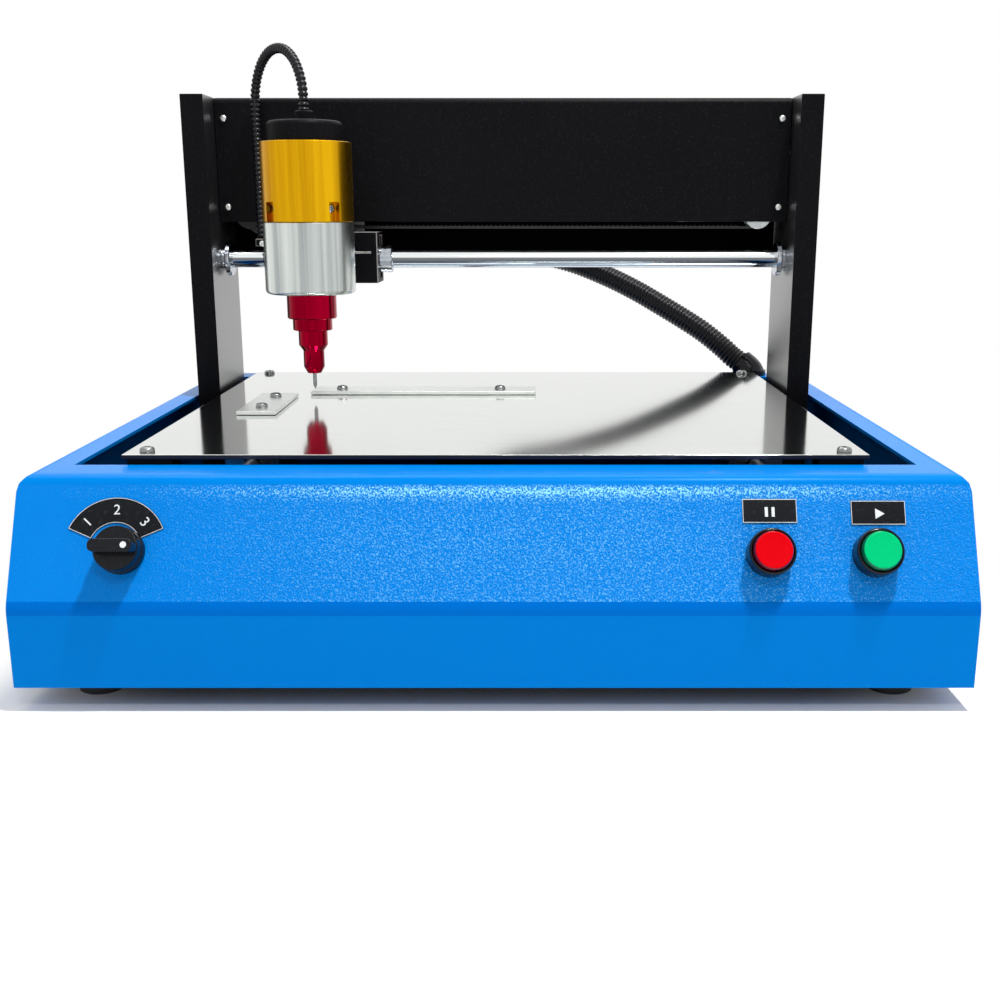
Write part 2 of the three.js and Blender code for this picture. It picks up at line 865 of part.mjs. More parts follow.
// The outline of a belt round two wheels, a given distance apart.
function loopShape(spread, radius) {
  const half = spread / 2;
  const shape = new THREE.Shape();
  shape.absarc(half, 0, radius, -Math.PI / 2, Math.PI / 2);
  shape.absarc(-half, 0, radius, Math.PI / 2, 3 * Math.PI / 2);
  return shape;
}

function belt(axis, spread) {
  return cut(
    extruded(axis, loopShape(spread, beltOuter), -beltWidth / 2, beltWidth / 2),
    extruded(axis, loopShape(spread, beltInner), -beltWidth, beltWidth),
  );
}

const driveSpread = driveMotorY - idlerY;
const motorFace = -pulleyHalfWidth - clearance - motorBoss;

function gantryDrive() {
  const body = along('x', motor(pulleyHalfWidth - motorFace));
  const foot = block([-motorLength, 0], around(0, motorSide / 2),
    [floorLevel - driveLevel, -motorSide / 2 + overrun]);
  const bracket = join(
    block([-bracketWidth, 0], around(0, bracketDepth), [floorLevel, driveLevel + axleRadius * 2]),
    rod('x', axleRadius, -overrun, pulleyHalfWidth - motorFace).translate(0, 0, driveLevel),
  );
  return [
    piece('gantry_motor', join(body, foot), finishes.blackPaint, [motorFace, driveMotorY, driveLevel]),
    piece('gantry_idler_bracket', bracket, finishes.aluminium, [motorFace, idlerY, 0]),
    piece('gantry_drive_pulley', along('x', pulley()), finishes.aluminium, [0, driveMotorY, driveLevel]),
    piece('gantry_idler_pulley', along('x', pulley()), finishes.aluminium, [0, idlerY, driveLevel]),
    piece('gantry_belt', belt('x', driveSpread), finishes.rubber,
      [0, (driveMotorY + idlerY) / 2, driveLevel]),
  ];
}

// Electronics

function powerSupply() {
  const box = block(around(supplyX, supplyWidth), [supplyFront, supplyFront + supplyDepth],
    [floorLevel, floorLevel + supplyHeight]);
  const terminals = block(around(supplyX, supplyWidth - terminalWidth),
    [supplyFront - terminalWidth, supplyFront + overrun], [floorLevel, floorLevel + terminalHeight]);
  return piece('power_supply', join(box, terminals), finishes.aluminium);
}

function controlBoard() {
  const bottom = floorLevel + boardPostHeight;
  const top = bottom + boardThickness;
  const depth = [boardFront, boardFront + boardDepth];
  const postX = boardWidth / 2 - boardPostInset;
  const postY = [depth[0] + boardPostInset, depth[1] - boardPostInset];
  const posts = [-postX, postX].flatMap((x) => postY.map((y) => (
    rod('z', boardPostRadius, floorLevel, top).translate(boardX + x, y, 0))));
  const middle = (depth[0] + depth[1]) / 2;
  const parts = [
    block(around(boardX, boardWidth), depth, [bottom, top]),
    block(around(boardX, boardWidth - 2 * boardPostInset - 2 * boardPostRadius),
      [depth[0], depth[0] + terminalWidth], [bottom, top + terminalHeight]),
    block(around(boardX, boardWidth / 2), [depth[1] - chipSide, depth[1] - terminalWidth],
      [bottom, top + sinkHeight]),
    block(around(boardX, chipSide), around(middle, chipSide), [bottom, top + chipHeight]),
  ];
  return piece('control_board', join(...parts, ...posts), finishes.board);
}

// Back panel fittings

function mainsInlet() {
  const shell = join(
    block(around(0, inletBodyWidth + 2 * inletMargin), [backFace, backFace + inletFlange],
      around(0, inletBodyHeight + 2 * inletMargin)),
    block(around(0, inletBodyWidth), [backFace + inletFlange - inletBodyDepth, backFace + inletFlange],
      around(0, inletBodyHeight)),
  );
  const face = backFace + inletFlange;
  const pocket = block(around(0, inletPocketWidth), [face - inletPocketDepth, face + overrun],
    around(0, inletPocketHeight));
  const blade = block(around(0, bladeWidth), [face - inletPocketDepth - overrun,
    face - inletPocketDepth + bladeLength], around(0, bladeHeight));
  const blades = [[-bladeSpread / 2, -bladeDrop], [0, bladeDrop], [bladeSpread / 2, -bladeDrop]]
    .map(([x, z]) => blade.clone().translate(x, 0, z));
  return piece('mains_inlet', join(cut(shell, pocket), ...blades), finishes.plastic,
    [inletX, 0, socketLevel]);
}

function powerSwitch() {
  const pocketWidth = rockerWidth + 2 * clearance;
  const pocketHeight = 2 * (rockerReach + clearance);
  const frame = join(
    block(around(0, switchBodyWidth + 2 * switchMargin), [backFace, backFace + switchRim],
      around(0, switchBodyHeight + 2 * switchMargin)),
    block(around(0, switchBodyWidth), [backFace + switchRim - switchBodyDepth, backFace + switchRim],
      around(0, switchBodyHeight)),
  );
  const pocket = block(around(0, pocketWidth),
    [rockerPivot - rockerReach - clearance, backFace + switchRim + overrun], around(0, pocketHeight));
  const face = new THREE.Shape();
  const end = Math.atan2(rockerEnd, rockerHeight / 2);
  face.moveTo(rockerWaist, 0);
  face.lineTo(rockerReach * Math.sin(end), rockerHeight / 2);
  for (let step = 1; step <= smallSteps; step += 1) {
    const angle = end - (Math.PI + 2 * end) * step / smallSteps;
    face.lineTo(rockerReach * Math.sin(angle), rockerReach * Math.cos(angle));
  }
  const rocker = extruded('x', face, -rockerWidth / 2, rockerWidth / 2).rotateX(rockerTilt);
  return [
    piece('power_switch_frame', cut(frame, pocket), finishes.plastic, [switchX, 0, socketLevel]),
    piece('power_switch_rocker', rocker, finishes.plastic, [switchX, rockerPivot, socketLevel]),
  ];
}

function dataSocket() {
  const slant = dataSlant;
  const [w, h] = [dataNoseWidth / 2, dataNoseHeight / 2];
  const nose = new THREE.Shape([
    new THREE.Vector2(slant - w, -h), new THREE.Vector2(w - slant, -h),
    new THREE.Vector2(w, h), new THREE.Vector2(-w, h),
  ]);
  const jack = rod('y', jackRadius, backFace, backFace + jackLength);
  const socket = join(
    block(around(0, jackSpread + 2 * dataMargin), [backFace, backFace + dataFlange],
      around(0, dataHeight)),
    extruded('y', nose, backFace - dataBodyDepth, backFace + dataNoseDepth),
    jack.clone().translate(-jackSpread / 2, 0, 0),
    jack.clone().translate(jackSpread / 2, 0, 0),
  );
  return piece('data_socket', socket, finishes.steel, [dataX, 0, socketLevel]);
}

// Controls on the sloping panel, drawn with Z square to the panel

// A control's barrel from under its bezel down, with its ring nut and contacts behind the panel.
const nutTop = -sheet - clearance;
const behindPanel = [
  [bezelRadius, clearance],
  [barrelRadius, clearance],
  [barrelRadius, nutTop],
  [nutRadius, nutTop],
  [nutRadius, nutTop - nutHeight],
  [barrelRadius, nutTop - nutHeight],
  [barrelRadius, -barrelLength],
  [contactRadius, -barrelLength],
  [contactRadius, -barrelLength - contactLength],
  [0, -barrelLength - contactLength],
];

function buttonBody(name, x) {
  const body = turned([
    [0, wellFloor],
    [wellRadius, wellFloor],
    [wellRadius, bezelHeight],
    [bezelRadius - bezelEdge, bezelHeight],
    [bezelRadius, bezelHeight - bezelEdge],
    ...behindPanel,
  ]);
  return piece(name, body, finishes.plastic, [x, buttonRise, 0]);
}

function buttonCap(name, x, material) {
  const cap = turned([
    [0, capRest],
    [buttonCapRadius, capRest],
    [buttonCapRadius, buttonCapTop - capRound],
    [buttonCapRadius - capRound, buttonCapTop],
    [0, buttonCapTop],
  ]);
  return piece(name, cap, material, [x, buttonRise, 0]);
}

function selector() {
  const base = turned([
    [0, collarHeight],
    [bezelRadius - bezelEdge / 2, collarHeight],
    [bezelRadius, collarHeight - bezelEdge],
    ...behindPanel,
  ]);
  const discTop = collarHeight + clearance + knobHeight;
  const disc = turned([
    [0, collarHeight + clearance],
    [knobRadius, collarHeight + clearance],
    [knobRadius, discTop - knobEdge],
    [knobRadius - knobEdge, discTop],
    [0, discTop],
  ]);
  const half = [gripLength / 2, gripWidth / 2];
  const corner = gripWidth / 2 - clearance;
  const grip = rounded([
    [-half[0], -half[1], corner], [half[0], -half[1], corner],
    [half[0], half[1], corner], [-half[0], half[1], corner],
  ], 3);
  const gripTop = discTop + gripHeight;
  const dot = rod('z', dotRadius, gripTop - dotRelief, gripTop + overrun)
    .translate(gripLength / 2 - dotInset, 0, 0);
  const knob = cut(join(disc, extruded('z', grip, discTop - knobEdge, gripTop)), dot);
  return [
    piece('selector_base', base, finishes.plastic, [selectorX, selectorRise, 0]),
    piece('selector_knob', knob, finishes.plastic, [selectorX, selectorRise, 0]),
  ];
}

function controls() {
  const group = assembly([
    buttonBody('red_button_body', redButtonX),
    buttonBody('green_button_body', greenButtonX),
    buttonCap('red_button_cap', redButtonX, finishes.redLens),
    buttonCap('green_button_cap', greenButtonX, finishes.greenLens),
    ...selector(),
  ], [0, 0, creaseLevel]);
  group.rotation.x = Math.PI / 2 - panelLean;
  return group;
}

// Gantry, drawn from the middle of its uprights

function uprights() {
  const size = [around(0, uprightDepth), [bearingBottom, beamTop]];
  const railHoles = (side) => [
    rod('x', beamRailRadius + clearance, -overrun, uprightThickness / 2)
      .translate(0, beamRailY, beamRailLevel),
    rod('x', upperRailRadius + clearance, -overrun, uprightThickness / 2)
      .translate(0, upperRailY, upperRailLevel),
  ].map((hole) => (side < 0 ? hole.scale(-1, 1, 1) : hole).translate(side * uprightInner, 0, 0));
  return [['left_upright', -1], ['right_upright', 1]].map(([name, side]) => {
    const reach = [side * uprightInner, side * uprightOuter].sort((a, b) => a - b);
    return piece(name, cut(block(reach, ...size), ...railHoles(side)), finishes.blackPaint);
  });
}

function bearingBlocks() {
  return [['left_bearing_block', -railX], ['right_bearing_block', railX]].map(([name, x]) => {
    const body = block(around(x, bearingWidth), around(0, uprightDepth), around(railLevel, bearingHeight));
    const bore = rod('y', railRadius + clearance, -uprightDepth, uprightDepth, roundSteps)
      .translate(x, 0, railLevel);
    return piece(name, cut(body, bore), finishes.aluminium);
  });
}

function crossTie() {
  const bar = block([-tieEnd, tieEnd], around(0, tieDepth), [tieBottom, tieBottom + tieHeight]);
  const jaw = block(around(0, jawWidth), around(0, tieDepth),
    [driveLevel + beltOuter + clearance, tieBottom + overrun]);
  return piece('gantry_cross_tie', join(bar, jaw), finishes.aluminium);
}

function beamCover() {
  const outline = [
    [coverFace, coverBottom, 0],
    [coverFace + sheet, coverBottom, 0],
    [coverFace + sheet, beamTop - sheet, 0],
    [gantryRear, beamTop - sheet, 0],
    [gantryRear, beamTop, 0],
    [coverFace, beamTop, coverFoldRadius],
  ];
  const cover = extruded('x', rounded(outline), -beamEnd, beamEnd);
  const holes = coverScrewPlaces.map(([x, z]) => (
    rod('y', screwHole, coverFace - overrun, coverFace + sheet + overrun).translate(x, 0, z)));
  return piece('beam_front_cover', cut(cover, ...holes), finishes.blackPaint);
}

function beamBackPanel() {
  const panel = block([-beamEnd, beamEnd], [backPanelFront, gantryRear],
    [backPanelBottom, beamTop - sheet - seat]);
  const shaftHole = rod('y', motorBossRadius + clearance, backPanelFront - overrun, gantryRear + overrun,
    roundSteps).translate(-pulleyX, 0, pulleyLevel);
  const cableHole = rod('y', conduitBore, backPanelFront - overrun, gantryRear + overrun)
    .translate(beamElbowX, 0, beamElbowLevel);
  const idlerAxle = rod('y', axleRadius, pulleyY - pulleyHalfWidth, backPanelFront + overrun)
    .translate(pulleyX, 0, pulleyLevel);
  return piece('beam_back_panel', join(cut(panel, shaftHole, cableHole), idlerAxle), finishes.blackPaint);
}

function beamRails() {
  const reach = uprightInner + uprightThickness / 2 - clearance;
  return [
    piece('lower_beam_rail', rod('x', beamRailRadius, -reach, reach, roundSteps), finishes.chrome,
      [0, beamRailY, beamRailLevel]),
    piece('upper_beam_rail', rod('x', upperRailRadius, -reach, reach, smallSteps), finishes.chrome,
      [0, upperRailY, upperRailLevel]),
  ];
}

function railFlanges() {
  const bore = beamRailRadius + clearance;
  const flange = turned([
    [bore, 0],
    [flangeHubRadius, 0],
    [flangeHubRadius, flangeHubLength],
    [flangeRadius, flangeHubLength],
    [flangeRadius, flangeHubLength + flangeThickness],
    [bore, flangeHubLength + flangeThickness],
  ]);
  const left = along('x', flange);
  const right = closed(left.clone().scale(-1, 1, 1));
  const face = uprightInner - seat;
  return [
    piece('left_rail_flange', left, finishes.chrome, [-face, beamRailY, beamRailLevel]),
    piece('right_rail_flange', right, finishes.chrome, [face, beamRailY, beamRailLevel]),
  ];
}

const coverScrewInset = 4.8;
const coverScrewRise = 7.8;
const coverScrewPlaces = [-1, 1].flatMap((side) => {
  const x = side * (beamEnd - coverScrewInset);
  return [[x, coverBottom + coverScrewRise], [x, beamTop - coverScrewRise - coverFoldRadius]];
});

function carriageDrive() {
  const face = gantryRear + seat;
  const shaft = motor(face - pulleyY + pulleyHalfWidth);
  const body = along('y', shaft).rotateZ(Math.PI);
  const place = [pulleyX, pulleyY, pulleyLevel];
  return [
    piece('carriage_motor', body, finishes.blackPaint, [-pulleyX, face, pulleyLevel]),
    piece('carriage_belt', belt('y', 2 * pulleyX), finishes.rubber, [0, pulleyY, pulleyLevel]),
    piece('carriage_drive_pulley', along('y', pulley()), finishes.aluminium, [-place[0], place[1], place[2]]),
    piece('carriage_idler_pulley', along('y', pulley()), finishes.aluminium, place),
  ];
}

// Carriage and marking head, drawn from the head's axis

function carriageBlock() {
  const body = block(around(0, blockWidth), [blockFront, blockBack], [blockBottom, blockTop]);
  const saddle = block(around(0, saddleWidth), [headY, blockFront + overrun],
    [saddleBottom, blockTop - saddleDrop]);
  const headRoom = rod('z', headRadius + clearance, blockBottom - overrun, blockTop + overrun, fineSteps)
    .translate(0, headY, 0);
  const lugReach = blockHalf + lugLength;
  const lug = block([-lugReach, -blockHalf + overrun], [blockFront, blockFront + lugDepth],
    [lugTop - lugThickness, lugTop]);
  const bore = rod('x', railBearingRadius + clearance, -blockWidth, blockWidth, roundSteps)
    .translate(0, beamRailY, beamRailLevel);
  const recess = [-1, 1].map((side) => {
    const faces = [side * (blockHalf - blockRecess), side * (blockHalf + lugLength + overrun)];
    return block(faces.sort((a, b) => a - b), [blockFront + lugDepth + blockRim, blockBack - blockRim],
      [blockBottom + blockRim, blockTop - blockRim]);
  });
  return piece('carriage_block', cut(join(body, cut(saddle, headRoom), lug), bore, ...recess),
    finishes.blackPaint);
}

function carriageRiser() {
  const riser = block(around(0, riserWidth), [riserFront, riserFront + riserThickness],
    [saddleBottom, riserTop]);
  const upper = block(around(0, upperBlockWidth), [coverFace + sheet + upperBlockGap, riserFront + overrun],
    around(upperRailLevel, upperBlockHeight));
  const jaw = block(around(0, jawWidth), [pulleyY - beltWidth / 2, riserFront + overrun],
    [pulleyLevel - beltInner + clearance, pulleyLevel - beltInner + clearance + jawHeight]);
  const bore = rod('x', upperRailRadius + clearance, -riserWidth, riserWidth)
    .translate(0, upperRailY, upperRailLevel);
  return piece('carriage_riser', cut(join(riser, upper, jaw), bore), finishes.aluminium);
}

function railBearings() {
  const bearing = along('x', turned([
    [beamRailRadius + clearance, 0],
    [railBearingRadius, 0],
    [railBearingRadius, railBearingLength],
    [beamRailRadius + clearance, railBearingLength],
  ]));
  const left = -blockHalf - bearingProudLeft;
  const right = blockHalf + bearingProudRight - railBearingLength;
  return [
    piece('left_rail_bearing', bearing, finishes.chrome, [left, beamRailY, beamRailLevel]),
    piece('right_rail_bearing', bearing, finishes.chrome, [right, beamRailY, beamRailLevel]),
  ];
}

function headBody() {
  const inner = headRadius - bodyWall;
  const softened = headFilletShare * headFillet;
  return turned([
    [bodyBore, bodyBottom],
    [headRadius - headFillet, bodyBottom],
    [headRadius - softened, bodyBottom + softened],
    [headRadius, bodyBottom + headFillet],
    [headRadius, bodyTop],
    [inner, bodyTop],
    [inner, bodyBottom + bodyFloor],
    [bodyBore, bodyBottom + bodyFloor],
  ], fineSteps);
}

function notch(angle) {
  const depth = [headRadius - notchDepth, headRadius + overrun];
  return block(depth, around(0, notchWidth), [ringBottom - overrun, ringBottom + notchHeight])
    .rotateZ(angle);
}

// The notches lie at four corners, halfway between the machine's axes.
const notchAngles = [1, 3, 5, 7].map((turn) => turn * notchAngle);

function headRing() {
  const ring = turned([
    [ringBore, ringBottom],
    [headRadius, ringBottom],
    [headRadius, ringTop],
    [ringBore, ringTop],
  ], fineSteps);
  const level = ringBottom + notchHeight - ringScrewDrop;
  const hole = rod('x', screwHole, ringBore - overrun, headRadius).translate(0, 0, level);
  const cuts = notchAngles.flatMap((angle) => [notch(angle), hole.clone().rotateZ(angle)]);
  return cut(ring, ...cuts);
}

function headNose() {
  return turned([
    [noseBore, noseTip],
    [noseTipRadius, noseTip],
    [noseStemRadius, noseStemBottom],
    [noseStemRadius, noseStemTop],
    [noseShoulderRadius, noseShoulderBottom],
    [noseShoulderRadius, noseShoulderTop],
    [noseCollarRadius, noseShoulderTop],
    [noseCollarRadius, noseCollarTop],
    [noseFlangeRadius, noseCollarTop],
    [noseFlangeRadius, noseTop],
    [springBore, noseTop],
    [springBore, springSeat],
    [noseBore, springSeat],
  ]);
}

function headCap() {
  const bottom = ringTop + seat;
  const top = bottom + capHeight;
  return turned([
    [0, bottom],
    [capRadius, bottom],
    [capRadius, top - capEdge],
    [capRadius - capEdge, top],
    [capBossRadius, top],
    [capBossRadius, top + capBossHeight],
    [0, top + capBossHeight],
  ]);
}

function stylus() {
  return turned([
    [0, stylusTip],
    [stylusPointRadius, stylusTip],
    [stylusRadius, stylusTip + stylusPointHeight],
    [stylusRadius, plungerBottom],
    [plungerRadius, plungerBottom],
    [plungerRadius, plungerTop],
    [0, plungerTop],
  ], smallSteps);
}

function stylusSpring() {
  return turned([
    [springRadius - springWire, springSeat + seat],
    [springRadius, springSeat + seat],
    [springRadius, plungerBottom - seat],
    [springRadius - springWire, plungerBottom - seat],
  ], smallSteps);
}

function solenoidCoil() {
  return turned([
    [coilBore, coilBottom], [coilRadius, coilBottom], [coilRadius, coilTop], [coilBore, coilTop],
  ]);
}

function markingHead() {
  return assembly([
    piece('head_body', headBody(), finishes.aluminium),
    piece('head_ring', headRing(), finishes.gold),
    piece('head_nose', headNose(), finishes.red),
    piece('head_cap', headCap(), finishes.blackPaint),
    piece('solenoid_coil', solenoidCoil(), finishes.copper),
    piece('stylus', stylus(), finishes.steel),
    piece('stylus_spring', stylusSpring(), finishes.steel),
  ], [0, headY, 0]);
}

// Conduits, with their routes as points chosen by hand

const route = (places) => places.map((place) => new THREE.Vector3(...place));

// The head's thin conduit, from the lug on the carriage up and over into the cap.
// Its points count from the fronts of the uprights.
const headConduitRoute = route([
  [-32.9, 15.6, 174.1],
  [-32.9, 15.6, 177.1],
  [-32.9, 15.6, 180.1],
  [-32.9, 15.6, 192],
  [-32.9, 15.6, 205],
  [-32.9, 15.6, 218],
  [-32.9, 15.6, 230],
  [-32.9, 15.6, 240],
  [-32.6, 15.2, 247.4],
  [-30.9, 13.1, 255.3],
  [-27.3, 8.6, 262.6],
  [-22.1, 2.2, 267.5],
  [-16.5, -4.7, 269],
  [-10.8, -11.7, 267.5],
  [-5.6, -18.1, 262.6],
  [-2, -22.6, 255.3],
  [-0.4, -24.6, 248.3],
  [0, -25.1, 242.7],
  [0, -25.1, 240.1],
  [0, -25.1, 237.5],
]);

// The beam's conduit, from the elbow behind the beam round a loop to the elbow on the back lip.
const beamConduitRoute = route([
  [43.2, 293.4, 235],
  [36.45, 293.4, 235],
  [29.7, 293.4, 235],
  [16, 294.8, 233.7],
  [1, 299.3, 229.4],
  [-13.8, 308, 220.9],
  [-22.7, 317.9, 211.3],
  [-27.3, 329.3, 200.4],
  [-27.3, 341.1, 189],
  [-22.7, 352.4, 180],
  [-13.8, 362.4, 172],
  [-1.4, 370.1, 165.8],
  [13.6, 374.9, 161.6],
  [29.9, 375.9, 158.6],
  [45.7, 373.1, 154.4],
  [60.3, 367.4, 149],
  [73.7, 360.6, 143.2],
  [86.4, 353.5, 136.8],
  [98.9, 346.3, 129.7],
  [111.7, 339.1, 122.2],
  [124.3, 332.1, 114.2],
  [136.8, 325.2, 104.3],
  [141.75, 322.35, 99.7],
  [146.7, 319.5, 96.1],
]);

const elbowBend = (start, bend, face) => (
  bentBar(new THREE.QuadraticBezierCurve3(start, bend, face), elbowRadius, smallSteps));

function beamElbow() {
  const start = new THREE.Vector3(beamElbowX, gantryRear + seat, beamElbowLevel);
  const bend = new THREE.Vector3(beamElbowX, gantryRear + beamElbowReach, beamElbowLevel);
  const face = new THREE.Vector3(beamElbowX - beamElbowLeg, bend.y, beamElbowLevel);
  const disc = rod('y', elbowDisc, start.y, start.y + elbowDiscHeight, roundSteps)
    .translate(start.x, 0, start.z);
  return piece('beam_conduit_elbow', join(elbowBend(start, bend, face), disc), finishes.plastic);
}

// The elbow on the back lip turns from straight up towards the middle of the machine and the back.
function housingElbow() {
  const start = new THREE.Vector3(housingElbowX, housingElbowY, housingTop + seat);
  const bend = new THREE.Vector3(housingElbowX, housingElbowY, housingTop + housingElbowRise);
  const run = housingElbowLeg * Math.cos(housingElbowDrop);
  const face = new THREE.Vector3(-run * Math.cos(housingElbowSwing), run * Math.sin(housingElbowSwing),
    housingElbowLeg * Math.sin(housingElbowDrop)).add(bend);
  const disc = rod('z', elbowDisc, start.z, start.z + elbowDiscHeight, roundSteps)
    .translate(start.x, start.y, 0);
  const above = block(around(start.x, housingWidth), around(start.y, housingDepth), [start.z, beamTop]);
  return piece('housing_conduit_elbow', join(common(elbowBend(start, bend, face), above), disc),
    finishes.aluminium);
}

function beamConduit() {
  const curve = new THREE.CatmullRomCurve3(beamConduitRoute);
  return piece('beam_conduit', ribbedHose(curve, conduitRadius, conduitRoot, conduitBore, conduitPitch),
    finishes.rubber);
}

function headConduit() {
  const curve = new THREE.CatmullRomCurve3(headConduitRoute);
  const hose = ribbedHose(curve, headConduitRadius, headConduitRoot, headConduitBore, headConduitPitch);
  return piece('head_conduit', hose, finishes.rubber, [0, gantryFront, 0]);
}

// The whole machine

const carriage = assembly([
  carriageBlock(),
  carriageRiser(),
  ...railBearings(),
  markingHead(),
  headConduit(),
], [homeX, 0, 0]);

const gantry = assembly([
  ...uprights(),
  ...bearingBlocks(),
  crossTie(),
  beamCover(),
  beamBackPanel(),
  ...beamRails(),
  ...railFlanges(),
  ...carriageDrive(),
  beamElbow(),
  carriage,
], [0, gantryY, 0]);

const machine = assembly([
  housingShell(),
  bottomPlate(),
  ...rubberFeet(),
  railFrame('left_rail_frame', -railX),
  railFrame('right_rail_frame', railX),
  markingPlate(),
  ...fences(),
  ...lowerRails(),
  ...gantryDrive(),
  powerSupply(),
  controlBoard(),
  mainsInlet(),
  ...powerSwitch(),
  dataSocket(),
  controls(),
  housingElbow(),
  gantry,
]);

const cords = assembly([beamConduit()]);

// The origin lies on the table, under the middle of the machine.
machine.updateMatrixWorld(true);
const reach = new THREE.Box3().setFromObject(machine, true);
const middle = -(reach.min.y + reach.max.y) / 2;
const part = assembly([machine, cords], [0, middle, 0]);

export default part;
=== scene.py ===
# A desk-top nameplate marking machine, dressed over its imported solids. Lengths are in metres.
import json
import math

import bpy
from mathutils import Matrix, Vector

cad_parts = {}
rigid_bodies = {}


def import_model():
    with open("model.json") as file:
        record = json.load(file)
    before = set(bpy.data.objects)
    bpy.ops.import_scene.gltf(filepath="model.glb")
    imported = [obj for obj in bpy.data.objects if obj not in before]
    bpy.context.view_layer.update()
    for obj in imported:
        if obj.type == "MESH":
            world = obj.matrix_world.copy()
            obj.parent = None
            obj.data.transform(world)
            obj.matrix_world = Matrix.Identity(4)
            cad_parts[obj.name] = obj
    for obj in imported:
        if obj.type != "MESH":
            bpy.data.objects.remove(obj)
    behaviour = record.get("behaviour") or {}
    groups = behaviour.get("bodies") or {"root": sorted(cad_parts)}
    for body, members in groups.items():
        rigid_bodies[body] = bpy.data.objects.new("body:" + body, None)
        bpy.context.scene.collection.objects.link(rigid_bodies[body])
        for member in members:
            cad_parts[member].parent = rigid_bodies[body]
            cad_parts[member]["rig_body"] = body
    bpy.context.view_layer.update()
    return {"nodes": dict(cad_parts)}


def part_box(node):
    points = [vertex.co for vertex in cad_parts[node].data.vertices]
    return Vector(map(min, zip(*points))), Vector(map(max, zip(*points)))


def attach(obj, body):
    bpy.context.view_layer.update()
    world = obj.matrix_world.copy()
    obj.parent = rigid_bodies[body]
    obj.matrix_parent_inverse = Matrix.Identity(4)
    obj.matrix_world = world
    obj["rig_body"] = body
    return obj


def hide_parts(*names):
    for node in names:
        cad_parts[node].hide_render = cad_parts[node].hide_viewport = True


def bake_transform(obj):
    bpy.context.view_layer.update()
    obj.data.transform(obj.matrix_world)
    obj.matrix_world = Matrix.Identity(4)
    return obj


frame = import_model()
mm = 0.001


def middleOf(node):
    low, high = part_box(node)
    return (low + high) / 2


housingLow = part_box("housing_shell")[0]
bandFace = housingLow.y  # the upright band of the housing's front
headMiddle = middleOf("head_body")


# Camera, at the photograph's place

cameraView = {
    "place": (12.3 * mm, bandFace - 432.2 * mm, 188.7 * mm),
    "pitch": 13.7,
    "lens": 43.2,
    "sensor": 36.0,
    "shift": (-0.0259, 0.003),
    "nearest": 0.01,
}


def makeCamera():
    bpy.ops.object.camera_add(
        location=cameraView["place"],
        rotation=(math.radians(90 - cameraView["pitch"]), 0, 0),
    )
    camera = bpy.context.object
    camera.name = "photoCamera"
    camera.data.lens = cameraView["lens"]
    camera.data.sensor_width = cameraView["sensor"]
    camera.data.shift_x, camera.data.shift_y = cameraView["shift"]
    camera.data.clip_start = cameraView["nearest"]
    bpy.context.scene.camera = camera


makeCamera()
print("camera placed")


# Ribbed conduits, on the routes of their solids

beamConduit = {
    "route": [
        (43.2, 293.4, 235), (36.45, 293.4, 235), (29.7, 293.4, 235), (16, 294.8, 233.7),
        (1, 299.3, 229.4), (-13.8, 308, 220.9), (-22.7, 317.9, 211.3), (-27.3, 329.3, 200.4),
        (-27.3, 341.1, 189), (-22.7, 352.4, 180), (-13.8, 362.4, 172), (-1.4, 370.1, 165.8),
        (13.6, 374.9, 161.6), (29.9, 375.9, 158.6), (45.7, 373.1, 154.4), (60.3, 367.4, 149),
        (73.7, 360.6, 143.2), (86.4, 353.5, 136.8), (98.9, 346.3, 129.7), (111.7, 339.1, 122.2),
        (124.3, 332.1, 114.2), (136.8, 325.2, 104.3), (141.75, 322.35, 99.7), (146.7, 319.5, 96.1),
    ],
    "origin": Vector((0, bandFace, 0)),
    "crest": 6.75 * mm,
    "root": 5.95 * mm,
    "pitch": 2.4 * mm,
    "sides": 24,
    "blendWay": Vector((-0.6, 0, 0.8)),  # from the base's fitting towards the beam
    "blendReach": 130,
}

headConduit = {
    "route": [
        (-32.9, 15.6, 174.1), (-32.9, 15.6, 177.1), (-32.9, 15.6, 180.1), (-32.9, 15.6, 192),
        (-32.9, 15.6, 205), (-32.9, 15.6, 218), (-32.9, 15.6, 230), (-32.9, 15.6, 240),
        (-32.6, 15.2, 247.4), (-30.9, 13.1, 255.3), (-27.3, 8.6, 262.6), (-22.1, 2.2, 267.5),
        (-16.5, -4.7, 269), (-10.8, -11.7, 267.5), (-5.6, -18.1, 262.6), (-2, -22.6, 255.3),
        (-0.4, -24.6, 248.3), (0, -25.1, 242.7), (0, -25.1, 240.1), (0, -25.1, 237.5),
    ],
    "origin": Vector((headMiddle.x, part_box("left_upright")[0].y, 0)),
    "crest": 2.6 * mm,
    "root": 1.95 * mm,
    "pitch": 2.5 * mm,
    "sides": 20,
}

ribs = {"samples": 6, "roundness": 0.7}  # rings for each rib, and how square its crest is
splineSteps = 24
pathStride = 6


def catmullLine(points):
    # the same centripetal spline as the solids', sampled between each two points
    ends = [2 * points[0] - points[1]] + points + [2 * points[-1] - points[-2]]
    line = []
    for i in range(1, len(ends) - 2):
        p0, p1, p2, p3 = ends[i - 1:i + 3]
        t1 = (p1 - p0).length ** 0.5
        t2 = t1 + (p2 - p1).length ** 0.5
        t3 = t2 + (p3 - p2).length ** 0.5
        for step in range(splineSteps):
            t = t1 + (t2 - t1) * step / splineSteps
            a1 = p0 + (p1 - p0) * (t / t1)
            a2 = p1 + (p2 - p1) * ((t - t1) / (t2 - t1))
            a3 = p2 + (p3 - p2) * ((t - t2) / (t3 - t2))
            b1 = a1 + (a2 - a1) * (t / t2)
            b2 = a2 + (a3 - a2) * ((t - t1) / (t3 - t1))
            line.append(b1 + (b2 - b1) * ((t - t1) / (t2 - t1)))
    line.append(points[-1].copy())
    return line


